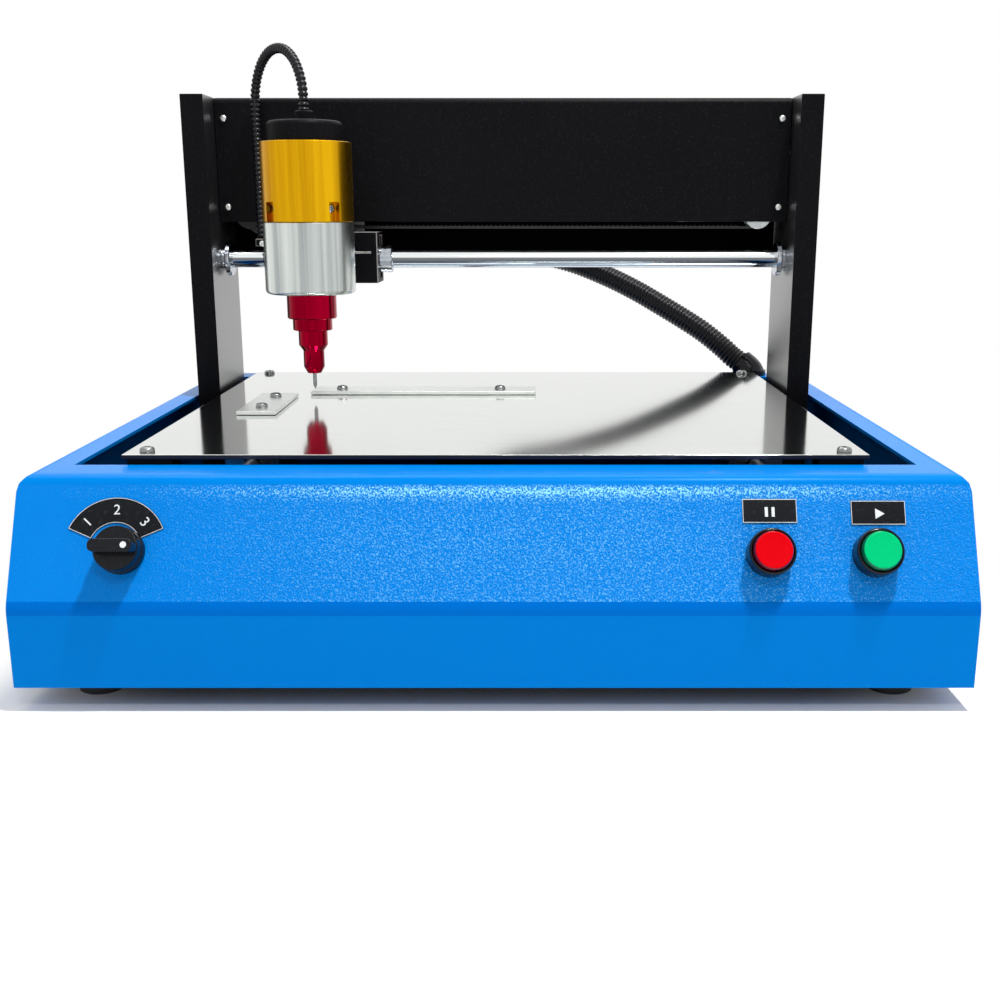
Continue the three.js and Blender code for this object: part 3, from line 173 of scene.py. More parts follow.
def evenPoints(line, spacing):
    lengths = [0.0]
    for before, after in zip(line, line[1:]):
        lengths.append(lengths[-1] + (after - before).length)
    count = round(lengths[-1] / spacing)
    even = []
    at = 0
    for i in range(count + 1):
        target = lengths[-1] * i / count
        while at < len(lengths) - 2 and lengths[at + 1] < target:
            at += 1
        share = (target - lengths[at]) / (lengths[at + 1] - lengths[at])
        even.append(line[at].lerp(line[at + 1], min(max(share, 0), 1)))
    return even, lengths[-1]


def makeConduit(name, conduit):
    line = catmullLine([Vector(point) * mm + conduit["origin"] for point in conduit["route"]])
    centres, length = evenPoints(line, conduit["pitch"] / ribs["samples"])
    sides = conduit["sides"]
    across = (centres[1] - centres[0]).normalized().orthogonal().normalized()
    vertices = []
    for i, centre in enumerate(centres):
        onward = (centres[min(i + 1, len(centres) - 1)] - centres[max(i - 1, 0)]).normalized()
        across = (across - onward * across.dot(onward)).normalized()
        up = onward.cross(across)
        swell = math.sin(math.pi * i / ribs["samples"]) ** 2
        radius = conduit["root"] + (conduit["crest"] - conduit["root"]) * swell ** ribs["roundness"]
        for side in range(sides):
            angle = 2 * math.pi * side / sides
            vertices.append(centre + (across * math.cos(angle) + up * math.sin(angle)) * radius)
    faces = []
    for i in range(len(centres) - 1):
        for side in range(sides):
            a, b = i * sides + side, i * sides + (side + 1) % sides
            faces.append((a, b, b + sides, a + sides))
    faces.append(tuple(range(sides - 1, -1, -1)))
    faces.append(tuple(range(len(vertices) - sides, len(vertices))))
    mesh = bpy.data.meshes.new(name)
    mesh.from_pydata([tuple(v) for v in vertices], [], faces)
    mesh.polygons.foreach_set("use_smooth", [True] * len(mesh.polygons))
    piece = bpy.data.objects.new(name, mesh)
    bpy.context.scene.collection.objects.link(piece)
    return piece, [tuple(point) for point in line[::pathStride]] + [tuple(line[-1])], length


thickConduit, thickPath, thickLength = makeConduit("ribbedBeamConduit", beamConduit)
thinConduit, thinPath, thinLength = makeConduit("ribbedHeadConduit", headConduit)
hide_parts("beam_conduit")
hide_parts("head_conduit")
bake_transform(thickConduit)
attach(thinConduit, "carriage")
print("conduits made", round(thickLength, 4), round(thinLength, 4))


# Node trees: an input is fed with another node's output or with a value

def feed(tree, node, inputs):
    for socket, value in inputs.items():
        if isinstance(value, bpy.types.NodeSocket):
            tree.links.new(value, node.inputs[socket])
        else:
            node.inputs[socket].default_value = value


def addNode(tree, kind, inputs, **settings):
    node = tree.nodes.new("ShaderNode" + kind)
    for name, value in settings.items():
        setattr(node, name, value)
    feed(tree, node, inputs)
    return node.outputs


def addMath(tree, operation, *values, **settings):
    inputs = dict(enumerate(values))
    return addNode(tree, "Math", inputs, operation=operation, **settings)[0]


def addColourMix(tree, factor, under, over, **settings):
    # a mix node's inputs are 0 for the factor, 2 and 3 for numbers, and 6 and 7 for colours
    inputs = {0: factor, 6: under, 7: over}
    return addNode(tree, "Mix", inputs, data_type="RGBA", **settings)[2]


def addRange(tree, value, low, high, toLow=0.0, toHigh=1.0, **settings):
    inputs = {"Value": value, "From Min": low, "From Max": high, "To Min": toLow, "To Max": toHigh}
    return addNode(tree, "MapRange", inputs, **settings)["Result"]


def addRamp(tree, factor, stops):
    ramp = tree.nodes.new("ShaderNodeValToRGB")
    elements = ramp.color_ramp.elements
    for spot, tone in stops[1:-1]:
        elements.new(spot)
    for element, (spot, tone) in zip(elements, stops):
        element.position, element.color = spot, (*tone, 1)
    feed(tree, ramp, {"Fac": factor})
    return ramp.outputs["Color"]


def newGroup(name, inputs, outputs):
    group = bpy.data.node_groups.new(name, "ShaderNodeTree")
    for label, value in inputs.items():
        kind = "NodeSocketVector" if isinstance(value, tuple) else "NodeSocketFloat"
        socket = group.interface.new_socket(name=label, in_out="INPUT", socket_type=kind)
        socket.default_value = value
    for label in outputs:
        group.interface.new_socket(name=label, in_out="OUTPUT", socket_type="NodeSocketFloat")
    return group, group.nodes.new("NodeGroupInput").outputs, group.nodes.new("NodeGroupOutput")


# Shared effects of the finishes

grain = {"detail": 3.0, "fleckFrom": 0.58, "fleckTo": 0.72}
toolLinesAndStreaks = {"detail": 4.0, "rough": 0.65, "lineFrom": 0.35, "lineTo": 0.65, "streakStretch": (1, 1, 0.02)}
handling = {"detail": 5.0, "markFrom": 0.42, "markTo": 0.75, "scale": 16.0, "amount": 0.3}
glintDetail = 1.5
shaderSockets = {
    "metal": "Metallic", "shine": "Specular IOR Level", "tint": "Specular Tint",
    "coat": "Coat Weight", "coatRough": "Coat Roughness",
}


def makeGrainGroup():
    # fine bumps of a sprayed or moulded surface
    group, given, result = newGroup(
        "fineGrain", {"Vector": (0, 0, 0), "Scale": 900.0, "Roughen": 0.5}, ("Height", "Mask"))
    spot = {"Vector": given["Vector"], "Scale": given["Scale"]}
    cells = addNode(group, "TexVoronoi", spot, feature="SMOOTH_F1")
    noise = addNode(group, "TexNoise", {**spot, "Detail": grain["detail"]})["Fac"]
    height = addNode(group, "Mix", {0: given["Roughen"], 2: cells["Distance"], 3: noise},
                     data_type="FLOAT")
    mask = addRange(group, noise, grain["fleckFrom"], grain["fleckTo"])
    feed(group, result, {"Height": height[0], "Mask": mask})
    return group


def makeLineAndStreakGroup():
    # fine parallel lines left by turning, grinding or brushing; stretched along a turned piece's axis, the
    # same lines give its painted reflection streaks
    group, given, result = newGroup(
        "toolLinesAndStreaks", {"Vector": (0, 0, 0), "Stretch": (1, 1, 60), "Scale": 60.0}, ("Height", "Mask"))
    stretched = addNode(group, "VectorMath", {0: given["Vector"], 1: given["Stretch"]},
                        operation="MULTIPLY")
    noise = addNode(group, "TexNoise", {
        "Vector": stretched[0], "Scale": given["Scale"], "Detail": toolLinesAndStreaks["detail"],
        "Roughness": toolLinesAndStreaks["rough"],
    })["Fac"]
    mask = addRange(group, noise, toolLinesAndStreaks["lineFrom"], toolLinesAndStreaks["lineTo"])
    feed(group, result, {"Height": noise, "Mask": mask})
    return group


def makeDustGroup():
    # broad, faint patches of handling marks and dust
    group, given, result = newGroup(
        "handlingMarks", {"Vector": (0, 0, 0), "Scale": 14.0, "Amount": 0.5}, ("Mask",))
    broad = addNode(group, "TexNoise", {
        "Vector": given["Vector"], "Scale": given["Scale"], "Detail": handling["detail"],
    })["Fac"]
    patches = addRange(group, broad, handling["markFrom"], handling["markTo"])
    feed(group, result, {"Mask": addMath(group, "MULTIPLY", patches, given["Amount"])})
    return group


grainGroup = makeGrainGroup()
lineAndStreakGroup = makeLineAndStreakGroup()
dustGroup = makeDustGroup()


def addPaintedGlints(tree, place, paintedGlints, under):
    # painted glints: pale sparks on the textured paint, standing in for the lamps' glints, dense where a
    # lamp's mirror image would fall
    parts = addNode(tree, "SeparateXYZ", {"Vector": place})
    shares = []
    for key, axis in (("levels", "Z"), ("sides", "X")):
        low, high, stops = paintedGlints[key]
        greys = [(spot, (tone, tone, tone)) for spot, tone in stops]
        shares.append(addRamp(tree, addRange(tree, parts[axis], low, high), greys))
    strength = addMath(tree, "MULTIPLY", *shares)
    noise = addNode(tree, "TexNoise", {
        "Vector": place, "Scale": paintedGlints["scale"], "Detail": glintDetail,
    })["Fac"]
    denser = addMath(tree, "MULTIPLY_ADD", strength, paintedGlints["reach"], noise)
    glintSpots = addRange(tree, denser, paintedGlints["from"], paintedGlints["to"])
    share = addMath(tree, "MULTIPLY", glintSpots, strength)
    return addColourMix(tree, share, under, (*paintedGlints["colour"], 1))


def makeFinish(name, look):
    # one material: a colour that varies a little, a roughness that varies, and a fine bump
    material = bpy.data.materials.new(name)
    material.use_nodes = True
    tree = material.node_tree
    place = addNode(tree, "TexCoord", {})["Object"]
    if "stretch" in look:
        texture = addNode(tree, "Group", {
            "Vector": place, "Scale": look["scale"], "Stretch": look["stretch"],
        }, node_tree=lineAndStreakGroup)
    else:
        texture = addNode(tree, "Group", {
            "Vector": place, "Scale": look["scale"], "Roughen": look.get("roughen", 0.5),
        }, node_tree=grainGroup)
    marks = addNode(tree, "Group", {
        "Vector": place, "Scale": handling["scale"], "Amount": handling["amount"],
    }, node_tree=dustGroup)["Mask"]
    flecksAndStreaks = texture["Mask"]
    if "paintedStreaks" in look:
        # painted reflection: soft streaks along the axis of a turned piece, standing in for the mirrored
        # lamps and room
        flecksAndStreaks = addNode(tree, "Group", {
            "Vector": place, "Scale": look["paintedStreaks"], "Stretch": toolLinesAndStreaks["streakStretch"],
        }, node_tree=lineAndStreakGroup)["Mask"]
    colour = addColourMix(tree, flecksAndStreaks, (*look["colour"], 1), (*look["fleck"], 1))
    colour = addColourMix(tree, marks, colour, (*look.get("dust", look["fleck"]), 1))
    if "paintedReflectionBands" in look:
        # painted reflection: pale and dark bands along a rail, by height, standing in for the surroundings
        # mirrored in it
        low, high, stops = look["paintedReflectionBands"]
        level = addNode(tree, "SeparateXYZ", {"Vector": place})["Z"]
        paintedReflectionBands = addRamp(tree, addRange(tree, level, low, high), stops)
        colour = addColourMix(tree, 1.0, colour, paintedReflectionBands, blend_type="MULTIPLY")
    # painted glints of the lamps over the panel's paint
    if "paintedGlints" in look:
        colour = addPaintedGlints(tree, place, look["paintedGlints"], colour)
    height = texture["Height"]
    if "calmLeft" in look:
        # the panel's texture is weaker at its left end
        across = addNode(tree, "SeparateXYZ", {"Vector": place})["X"]
        calm = addRange(tree, across, *look["calmLeft"], look["calm"])
        height = addMath(tree, "MULTIPLY", height, calm)
    bump = addNode(tree, "Bump", {
        "Strength": look["bump"], "Distance": look.get("depth", 0.0001), "Height": height,
    })
    surface = tree.nodes["Principled BSDF"]
    feed(tree, surface, {socket: look[key] for key, socket in shaderSockets.items() if key in look})
    feed(tree, surface, {
        "Base Color": colour, "Roughness": addRange(tree, marks, 0.0, 1.0, *look["rough"]),
        "Normal": bump["Normal"],
    })
    return material


# Finishes, with the record's slot of each that a piece is dressed in; what a finish doesn't say
# is as in the one that it is like

finishes = {
    "housingPaint": {
        "slot": "housing_paint",
        "colour": (0.0, 0.183, 0.60), "fleck": (0.0, 0.196, 0.63), "dust": (0.0, 0.188, 0.61),
        "scale": 900, "roughen": 0.45, "rough": (0.25, 0.35), "bump": 0.12, "depth": 0.0004,
        "shine": 0.06, "tint": (0.25, 0.62, 1, 1),
    },
    # the housing paint made darker for the lower fold: painted shade
    "foldShadedPaint": {
        "like": "housingPaint",
        "colour": (0.0, 0.13, 0.52), "fleck": (0.0, 0.14, 0.54), "dust": (0.0, 0.134, 0.53),
    },
    "panelPaint": {
        "colour": (0.0, 0.19, 0.64), "fleck": (0.0, 0.22, 0.70), "dust": (0.0, 0.196, 0.65),
        "scale": 1250, "roughen": 0.5, "rough": (0.18, 0.26), "bump": 1.0, "depth": 0.0007,
        "calmLeft": (-0.165, -0.085), "calm": 0.15,
        # painted glints: where the lamps' highlights are painted, by height and across the panel
        "paintedGlints": {
            "colour": (0.33, 0.78, 1.0), "scale": 1500, "reach": 0.12, "from": 0.54, "to": 0.70,
            "levels": (0.042, 0.089, (
                (0.0, 0.0), (0.04, 0.42), (0.1, 0.26), (0.5, 0.32), (0.78, 0.26), (0.83, 0.6),
                (0.87, 1.0), (0.905, 0.8), (0.93, 0.1), (1.0, 0.0),
            )),
            "sides": (-0.185, 0.185, (
                (0.0, 0.0), (0.12, 0.1), (0.24, 0.5), (0.38, 0.9), (0.6, 1.0), (0.82, 0.75),
                (0.93, 0.4), (1.0, 0.2),
            )),
        },
        "shine": 0.15, "tint": (0.42, 0.72, 1, 1),
    },
    "blackPowder": {
        "slot": "black_paint",
        "colour": (0.003, 0.003, 0.004), "fleck": (0.011, 0.0115, 0.014), "dust": (0.006, 0.006, 0.008),
        "scale": 1100, "rough": (0.42, 0.58), "bump": 0.8, "depth": 0.00015,
        "shine": 0.06,
    },
    "blackGloss": {
        "slot": "black_paint",
        "colour": (0.005, 0.005, 0.007), "fleck": (0.01, 0.01, 0.012), "dust": (0.012, 0.012, 0.015),
        "scale": 500, "rough": (0.1, 0.22), "bump": 0.06,
        "shine": 0.5,
    },
    "sideGloss": {
        "like": "blackGloss", "rough": (0.34, 0.42), "bump": 0.04,
        "shine": 1.0, "coat": 1.0, "coatRough": 0.36,
    },
    "shadedBlack": {
        "slot": "black_paint",
        "colour": (0.0008, 0.0007, 0.0008), "fleck": (0.0016, 0.0014, 0.0016),
        "dust": (0.001, 0.001, 0.001), "scale": 500, "rough": (0.6, 0.75), "bump": 0.1,
        "shine": 0.01,
    },
    # pale grey for softened edges: painted highlight
    "paintedEdgeHighlight": {
        "slot": "black_paint", "colour": (0.24, 0.22, 0.22), "fleck": (0.12, 0.11, 0.115),
        "scale": 400, "rough": (0.4, 0.5), "bump": 0.1, "shine": 0.3,
    },
    "darkEdge": {
        "slot": "polished_steel", "colour": (0.012, 0.012, 0.02), "fleck": (0.05, 0.05, 0.065),
        "scale": 60, "rough": (0.4, 0.5), "bump": 0.1, "shine": 0.1,
    },
    "mirrorSteel": {
        "slot": "polished_steel",
        "colour": (0.71, 0.73, 0.70), "fleck": (0.67, 0.69, 0.66), "dust": (0.68, 0.70, 0.67),
        "metal": 1.0, "scale": 30, "stretch": (1, 18, 1), "rough": (0.09, 0.14), "bump": 0.01,
        "depth": 0.00003,
    },
    "fenceSteel": {
        "slot": "plain_steel",
        "colour": (0.82, 0.84, 0.81), "fleck": (0.66, 0.68, 0.67), "dust": (0.72, 0.74, 0.72),
        "metal": 1.0, "scale": 45, "stretch": (1, 30, 1), "rough": (0.3, 0.42), "bump": 0.1,
    },
    "screwSteel": {
        "slot": "plain_steel",
        "colour": (0.32, 0.33, 0.33), "fleck": (0.2, 0.205, 0.21), "dust": (0.25, 0.26, 0.26),
        "metal": 1.0, "scale": 300, "stretch": (1, 1, 8), "rough": (0.22, 0.36), "bump": 0.1,
    },
    "chrome": {
        "slot": "ground_chrome",
        "colour": (0.50, 0.53, 0.58), "fleck": (0.42, 0.45, 0.50), "dust": (0.40, 0.42, 0.46),
        "metal": 1.0, "scale": 50, "stretch": (0.4, 12, 12), "rough": (0.1, 0.2), "bump": 0.03,
    },
    "railChrome": {
        "like": "chrome", "rough": (0.1, 0.18),
        "colour": (0.98, 0.98, 0.98), "fleck": (0.92, 0.92, 0.93), "dust": (0.93, 0.93, 0.94),
        # painted reflection of the rail's surroundings, as bands by height
        "paintedReflectionBands": (0.1578, 0.1678, (
            (0.0, (0.03, 0.03, 0.04)), (0.05, (0.03, 0.03, 0.04)), (0.12, (0.62, 0.70, 0.84)),
            (0.24, (0.50, 0.57, 0.68)), (0.30, (0.10, 0.11, 0.13)), (0.44, (0.22, 0.24, 0.26)),
            (0.52, (0.12, 0.13, 0.14)), (0.60, (0.90, 0.93, 0.93)), (1.0, (0.86, 0.89, 0.90)),
        )),
    },
    "turnedAluminium": {
        "slot": "aluminium",
        "colour": (0.80, 0.84, 0.80), "fleck": (0.20, 0.23, 0.24), "dust": (0.52, 0.55, 0.54),
        "metal": 1.0, "scale": 40, "stretch": (1, 1, 60), "rough": (0.24, 0.34), "bump": 0.05,
        # painted reflection streaks along the axis, in the fleck tone
        "paintedStreaks": 75,
    },
    "plainAluminium": {
        "slot": "aluminium",
        "colour": (0.60, 0.62, 0.63), "fleck": (0.45, 0.47, 0.48), "dust": (0.5, 0.52, 0.53),
        "metal": 1.0, "scale": 45, "stretch": (30, 1, 1), "rough": (0.28, 0.42), "bump": 0.2,
    },
    "goldAnodised": {
        "like": "turnedAluminium", "slot": "gold_anodised",
        "colour": (0.83, 0.46, 0.006), "fleck": (0.52, 0.245, 0.003), "dust": (0.72, 0.36, 0.006),
        "rough": (0.26, 0.36), "paintedStreaks": 110,
    },
    "redAnodised": {
        "slot": "red_anodised",
        "colour": (0.36, 0.0, 0.02), "fleck": (0.2, 0.0, 0.01), "dust": (0.3, 0.0, 0.015),
        "metal": 1.0, "scale": 50, "stretch": (1, 1, 60), "rough": (0.16, 0.26), "bump": 0.06,
        "paintedStreaks": 190,
    },
    "copperWinding": {
        "slot": "copper_winding", "colour": (0.5, 0.17, 0.05), "fleck": (0.3, 0.09, 0.03),
        "metal": 1.0, "scale": 60, "stretch": (1, 1, 40), "rough": (0.25, 0.4), "bump": 0.6,
    },
    "blackRubber": {
        "slot": "black_rubber",
        "colour": (0.014, 0.014, 0.015), "fleck": (0.035, 0.035, 0.037), "dust": (0.06, 0.06, 0.06),
        "scale": 900, "rough": (0.6, 0.8), "bump": 0.4,
    },
    "conduitPlastic": {
        "slot": "black_rubber",
        "colour": (0.004, 0.004, 0.006), "fleck": (0.01, 0.0105, 0.013), "dust": (0.012, 0.012, 0.015),
        "scale": 700, "rough": (0.3, 0.44), "bump": 0.12, "shine": 0.25,
    },
    "blackPlastic": {
        "slot": "black_plastic",
        "colour": (0.003, 0.0035, 0.006), "fleck": (0.009, 0.01, 0.014), "dust": (0.01, 0.01, 0.015),
        "scale": 800, "rough": (0.22, 0.34), "bump": 0.1, "shine": 0.22,
    },
    "redCap": {
        "slot": "red_plastic", "colour": (0.62, 0.0, 0.004), "fleck": (0.67, 0.0, 0.007),
        "scale": 700, "rough": (0.22, 0.3), "bump": 0.05, "shine": 0.05,
    },
    # darker copies of the cap colours for the caps' sloped rims: painted shade
    "redCapShadedSide": {
        "like": "redCap", "colour": (0.09, 0.0, 0.006), "fleck": (0.12, 0.0, 0.008),
        "rough": (0.2, 0.3), "shine": 0.3,
    },
    "greenCap": {
        "slot": "green_plastic", "colour": (0.0, 0.48, 0.165), "fleck": (0.0, 0.53, 0.19),
        "scale": 700, "rough": (0.22, 0.3), "bump": 0.05, "shine": 0.05,
    },
    "greenCapShadedSide": {
        "like": "greenCap", "colour": (0.0, 0.09, 0.035), "fleck": (0.0, 0.12, 0.045),
        "rough": (0.2, 0.3), "shine": 0.3,
    },
    "labelInk": {
        "slot": "black_plastic", "colour": (0.004, 0.005, 0.007), "fleck": (0.016, 0.018, 0.022),
        "scale": 600, "rough": (0.3, 0.42), "bump": 0.15, "shine": 0.12,
    },
    "labelLine": {
        "slot": "aluminium", "colour": (0.72, 0.76, 0.77), "fleck": (0.62, 0.66, 0.68),
        "scale": 900, "rough": (0.4, 0.5), "bump": 0.05,
    },
    "circuitBoard": {
        "slot": "circuit_board", "colour": (0.01, 0.13, 0.045), "fleck": (0.03, 0.2, 0.07),
        "scale": 500, "rough": (0.3, 0.5), "bump": 0.3,
    },
}
for finishName, ownLook in finishes.items():
    finishes[finishName] = {**finishes.get(ownLook.get("like"), {}), **ownLook}
materials = {name: makeFinish(name, look) for name, look in finishes.items()}


def dress(piece, finish):
    piece.data.materials.clear()
    piece.data.materials.append(materials[finish])


dress(thickConduit, "conduitPlastic")
dress(thinConduit, "conduitPlastic")
print("materials made", len(materials))


# Ways of working shared by the pieces

working = {
    "centre": 0.000001,  # the radius that stands for a ring's middle
    "ringMerge": 0.000008,
    "solidMerge": 0.00002,
    "tellsApart": 0.000001,
    "flat": 1.0,  # degrees within which a solid's faces become one
    "solidAngle": 42,  # degrees from which a solid's edge is softened
}


def deselectAll():
    bpy.ops.object.select_all(action="DESELECT")


def choose(piece):
    deselectAll()
    piece.select_set(True)
    bpy.context.view_layer.objects.active = piece


def applyPlace(piece):
    choose(piece)
    bpy.ops.object.transform_apply(location=True, rotation=True, scale=True)


def startEdit(piece):
    choose(piece)
    bpy.ops.object.mode_set(mode="EDIT")
    bpy.ops.mesh.select_all(action="SELECT")


def endEdit(merge=0.0, fill=False):
    # merges points and fills holes where asked, and turns the faces outwards
    bpy.ops.mesh.select_all(action="SELECT")
    if merge:
        bpy.ops.mesh.remove_doubles(threshold=merge)
    if fill:
        bpy.ops.mesh.fill_holes(sides=0)
    bpy.ops.mesh.normals_make_consistent(inside=False)
    bpy.ops.object.mode_set(mode="OBJECT")


def applyModifier(piece, kind, **settings):
    choose(piece)
    modifier = piece.modifiers.new("shaping", kind)
    for name, value in settings.items():
        setattr(modifier, name, value)
    bpy.ops.object.modifier_apply(modifier=modifier.name)


def smoothPiece(piece, angle=40):
    choose(piece)
    bpy.ops.object.shade_smooth_by_angle(angle=math.radians(angle))
    applyModifier(piece, "WEIGHTED_NORMAL", keep_sharp=True)


def softenEdges(piece, width, segments=2, angle=40, smooth=40, rim=-1):
    # rim is the number of the finish that the softened edges take, or -1 for that of their faces
    applyModifier(piece, "BEVEL", material=rim, width=width, segments=segments,
                  limit_method="ANGLE", angle_limit=math.radians(angle), use_clamp_overlap=True)
    smoothPiece(piece, smooth)


def cutAway(piece, cutter):
    applyModifier(piece, "BOOLEAN", operation="DIFFERENCE", object=cutter, solver="EXACT")
    bpy.data.objects.remove(cutter)


def joinPieces(pieces):
    choose(pieces[0])
    for piece in pieces[1:]:
        piece.select_set(True)
    bpy.ops.object.join()
    return bpy.context.object


def addBlock(low, high):
    deselectAll()
    low, high = Vector(low), Vector(high)
    bpy.ops.mesh.primitive_cube_add(size=1, location=(low + high) / 2, scale=high - low)
    piece = bpy.context.object
    applyPlace(piece)
    return piece


def inMm(points):
    return [(radius * mm, height * mm) for radius, height in points]


def quarterRound(middle, radius, start):
    # the rings of a rounded edge, from an angle onwards
    angles = [math.radians(start + 15 * n) for n in range(7)]
    return [(middle[0] + radius * math.cos(a), middle[1] + radius * math.sin(a)) for a in angles]


def turnProfile(profile, steps=72, smooth=0):
    # a circle extruded from ring to ring of (radius, height), upwards about Z
    rings = [(max(radius, working["centre"]), height) for radius, height in profile]
    radius, height = rings[0]
    deselectAll()
    bpy.ops.mesh.primitive_circle_add(vertices=steps, radius=radius, location=(0, 0, 0))
    piece = bpy.context.object
    startEdit(piece)
    bpy.ops.transform.translate(value=(0, 0, height))
    for nextRadius, nextHeight in rings[1:]:
        move = {"value": (0, 0, nextHeight - height)}
        bpy.ops.mesh.extrude_region_move(TRANSFORM_OT_translate=move)
        ratio = nextRadius / radius
        if abs(ratio - 1) > working["tellsApart"]:
            bpy.ops.transform.resize(value=(ratio, ratio, 1), center_override=(0, 0, nextHeight))
        radius, height = nextRadius, nextHeight
    endEdit(merge=working["ringMerge"])
    if smooth:
        smoothPiece(piece, smooth)
    return piece


turnTo = {
    "up": Matrix.Identity(4),
    "right": Matrix.Rotation(math.pi / 2, 4, "Y"),
    "left": Matrix.Rotation(-math.pi / 2, 4, "Y"),
    "back": Matrix.Rotation(-math.pi / 2, 4, "X"),
    "front": Matrix.Rotation(math.pi / 2, 4, "X"),
}


def moveTo(piece, place, heading="up"):
    piece.data.transform(Matrix.Translation(Vector(place)) @ turnTo[heading])
    return piece


def standIn(piece, name, finish, *nodes, body=None):
    piece.name = name
    piece.data.name = name
    dress(piece, finish)
    if nodes:
        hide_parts(*nodes)
    if body is not False:
        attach(piece, body or frame["nodes"][nodes[0]]["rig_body"])
    return piece


def addFinish(piece, finish, wanted):
    # a further finish for the faces that are wanted
    piece.data.materials.append(materials[finish])
    for face in piece.data.polygons:
        if wanted(face.normal):
            face.material_index = len(piece.data.materials) - 1


def copyOfSolid(node, edge):
    # a merged copy of a solid, its flat faces cleaned and its edges softened
    piece = bpy.data.objects.new(node + "Copy", frame["nodes"][node].data.copy())
    bpy.context.scene.collection.objects.link(piece)
    piece.data.materials.clear()
    startEdit(piece)
    bpy.ops.mesh.remove_doubles(threshold=working["solidMerge"])
    bpy.ops.mesh.dissolve_limited(angle_limit=math.radians(working["flat"]))
    bpy.ops.object.mode_set(mode="OBJECT")
    angle = working["solidAngle"]
    if edge:
        softenEdges(piece, edge, angle=angle, smooth=angle)
    else:
        smoothPiece(piece, angle)
    return piece


def dressCopy(node, name, finish, edge):
    return standIn(copyOfSolid(node, edge), name, finish, node)


def dressBlock(node, name, finish, edge):
    # for a solid that is a plain block
    piece = addBlock(*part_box(node))
    softenEdges(piece, edge, segments=3)
    return standIn(piece, name, finish, node)


def placedCopy(master, name, matrix, finish, body):
    piece = bpy.data.objects.new(name, master.data.copy())
    bpy.context.scene.collection.objects.link(piece)
    piece.data.transform(matrix)
    return standIn(piece, name, finish, body=body)


# Screws, one modelled and the others copied from it

screw = {
    "radius": 3.1 * mm, "height": 2.0 * mm,
    "shares": [  # of the radius and of the height
        (0, 0), (0.97, 0), (1, 0.12), (0.985, 0.45), (0.9, 0.74), (0.72, 0.93), (0.5, 1), (0, 1),
    ],
    "slotLength": 3.4 * mm, "slotWidth": 0.75 * mm, "slotDepth": 1.1 * mm,
    "edge": 0.08 * mm,
    "nextTurn": 37,  # degrees from one screw of a row to the next
}


def makeScrew():
    radius, height = screw["radius"], screw["height"]
    master = turnProfile([(radius * out, height * up) for out, up in screw["shares"]], steps=40)
    half, width, depth = screw["slotLength"] / 2, screw["slotWidth"] / 2, screw["slotDepth"]
    for x, y in ((half, width), (width, half)):
        cutAway(master, addBlock((-x, -y, height - depth), (x, y, height + depth)))
    softenEdges(master, screw["edge"], segments=1, angle=50)
    master.name = "screwMaster"
    return master


screwMaster = makeScrew()


def putScrews(name, places, heading, finish, body, size=1.0, turn=0.0):
    for number, place in enumerate(places, 1):
        angle = math.radians(turn + screw["nextTurn"] * number)
        matrix = (Matrix.Translation(Vector(place)) @ turnTo[heading] @ Matrix.Rotation(angle, 4, "Z")
                  @ Matrix.Diagonal((size, size, size, 1)))
        placedCopy(screwMaster, name + str(number), matrix, finish, body)


# Housing and what stands in it

housing = {
    "edge": 0.35 * mm, "sheetEdge": 0.3 * mm,
    "panelLean": 26.0, "panelReach": 40 * mm, "panelMatch": 0.998,
    "foldTop": 50 * mm, "foldTilt": (0.02, 0.42), "foldAside": 0.05, "foldFront": -0.9,
    "footShares": [  # of the radius, and millimetres upwards
        (0.52, 0.0), (0.56, 0.8), (0.72, 0.8), (0.8, 0.0), (0.84, 0.4),
    ],
    "footWall": 0.98, "footTop": 0.96, "footWallTop": 0.9, "footEdge": 0.25 * mm,
}


def makeHousing():
    skin = dressCopy("housing_shell", "housingSkin", "housingPaint", housing["edge"])
    skin.data.materials.append(materials["panelPaint"])
    skin.data.materials.append(materials["foldShadedPaint"])
    lean = math.radians(housing["panelLean"])
    facing = Vector((0, -math.cos(lean), math.sin(lean)))
    tiltLow, tiltHigh = housing["foldTilt"]
    for face in skin.data.polygons:
        normal, middle = face.normal, face.center
        if normal.dot(facing) > housing["panelMatch"] and middle.y < housingLow.y + housing["panelReach"]:
            face.material_index = 1
        # the lower fold's faces take the darker copy of the paint, painted shade
        elif (abs(normal.x) < housing["foldAside"] and normal.y < housing["foldFront"]
                and tiltLow < normal.z < tiltHigh and middle.z < housing["foldTop"]):
            face.material_index = 2
    dressCopy("bottom_plate", "bottomSheet", "blackPowder", housing["sheetEdge"])


def makeFeet():
    for node in ("front_left_foot", "front_right_foot", "back_left_foot", "back_right_foot"):
        low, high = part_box(node)
        radius, height = (high.x - low.x) / 2, high.z - low.z
        sole = [(radius * share, up * mm) for share, up in housing["footShares"]]
        foot = turnProfile([(0, 0)] + sole + [
            (radius * housing["footWall"], height * housing["footWallTop"]),
            (radius * housing["footTop"], height), (0, height),
        ], steps=48)
        softenEdges(foot, housing["footEdge"])
        middle = middleOf(node)
        moveTo(foot, (middle.x, middle.y, low.z))
        standIn(foot, node.replace("_", " ").title().replace(" ", "") + "Rubber", "blackRubber", node)


makeHousing()
makeFeet()
print("housing made")


# Marking plate, fences and their screws

plate = {
    "edge": 0.35 * mm, "screwInX": 8.5 * mm, "screwInY": 7.0 * mm, "topTilt": 0.3, "screwTurn": 20,
    "fenceEdge": 0.25 * mm, "fenceScrew": 0.95, "fenceScrewTurn": 5,
    "fences": {"long": (0.13, 0.84), "short": (0.23, 0.8)},  # places of the screws along each
}


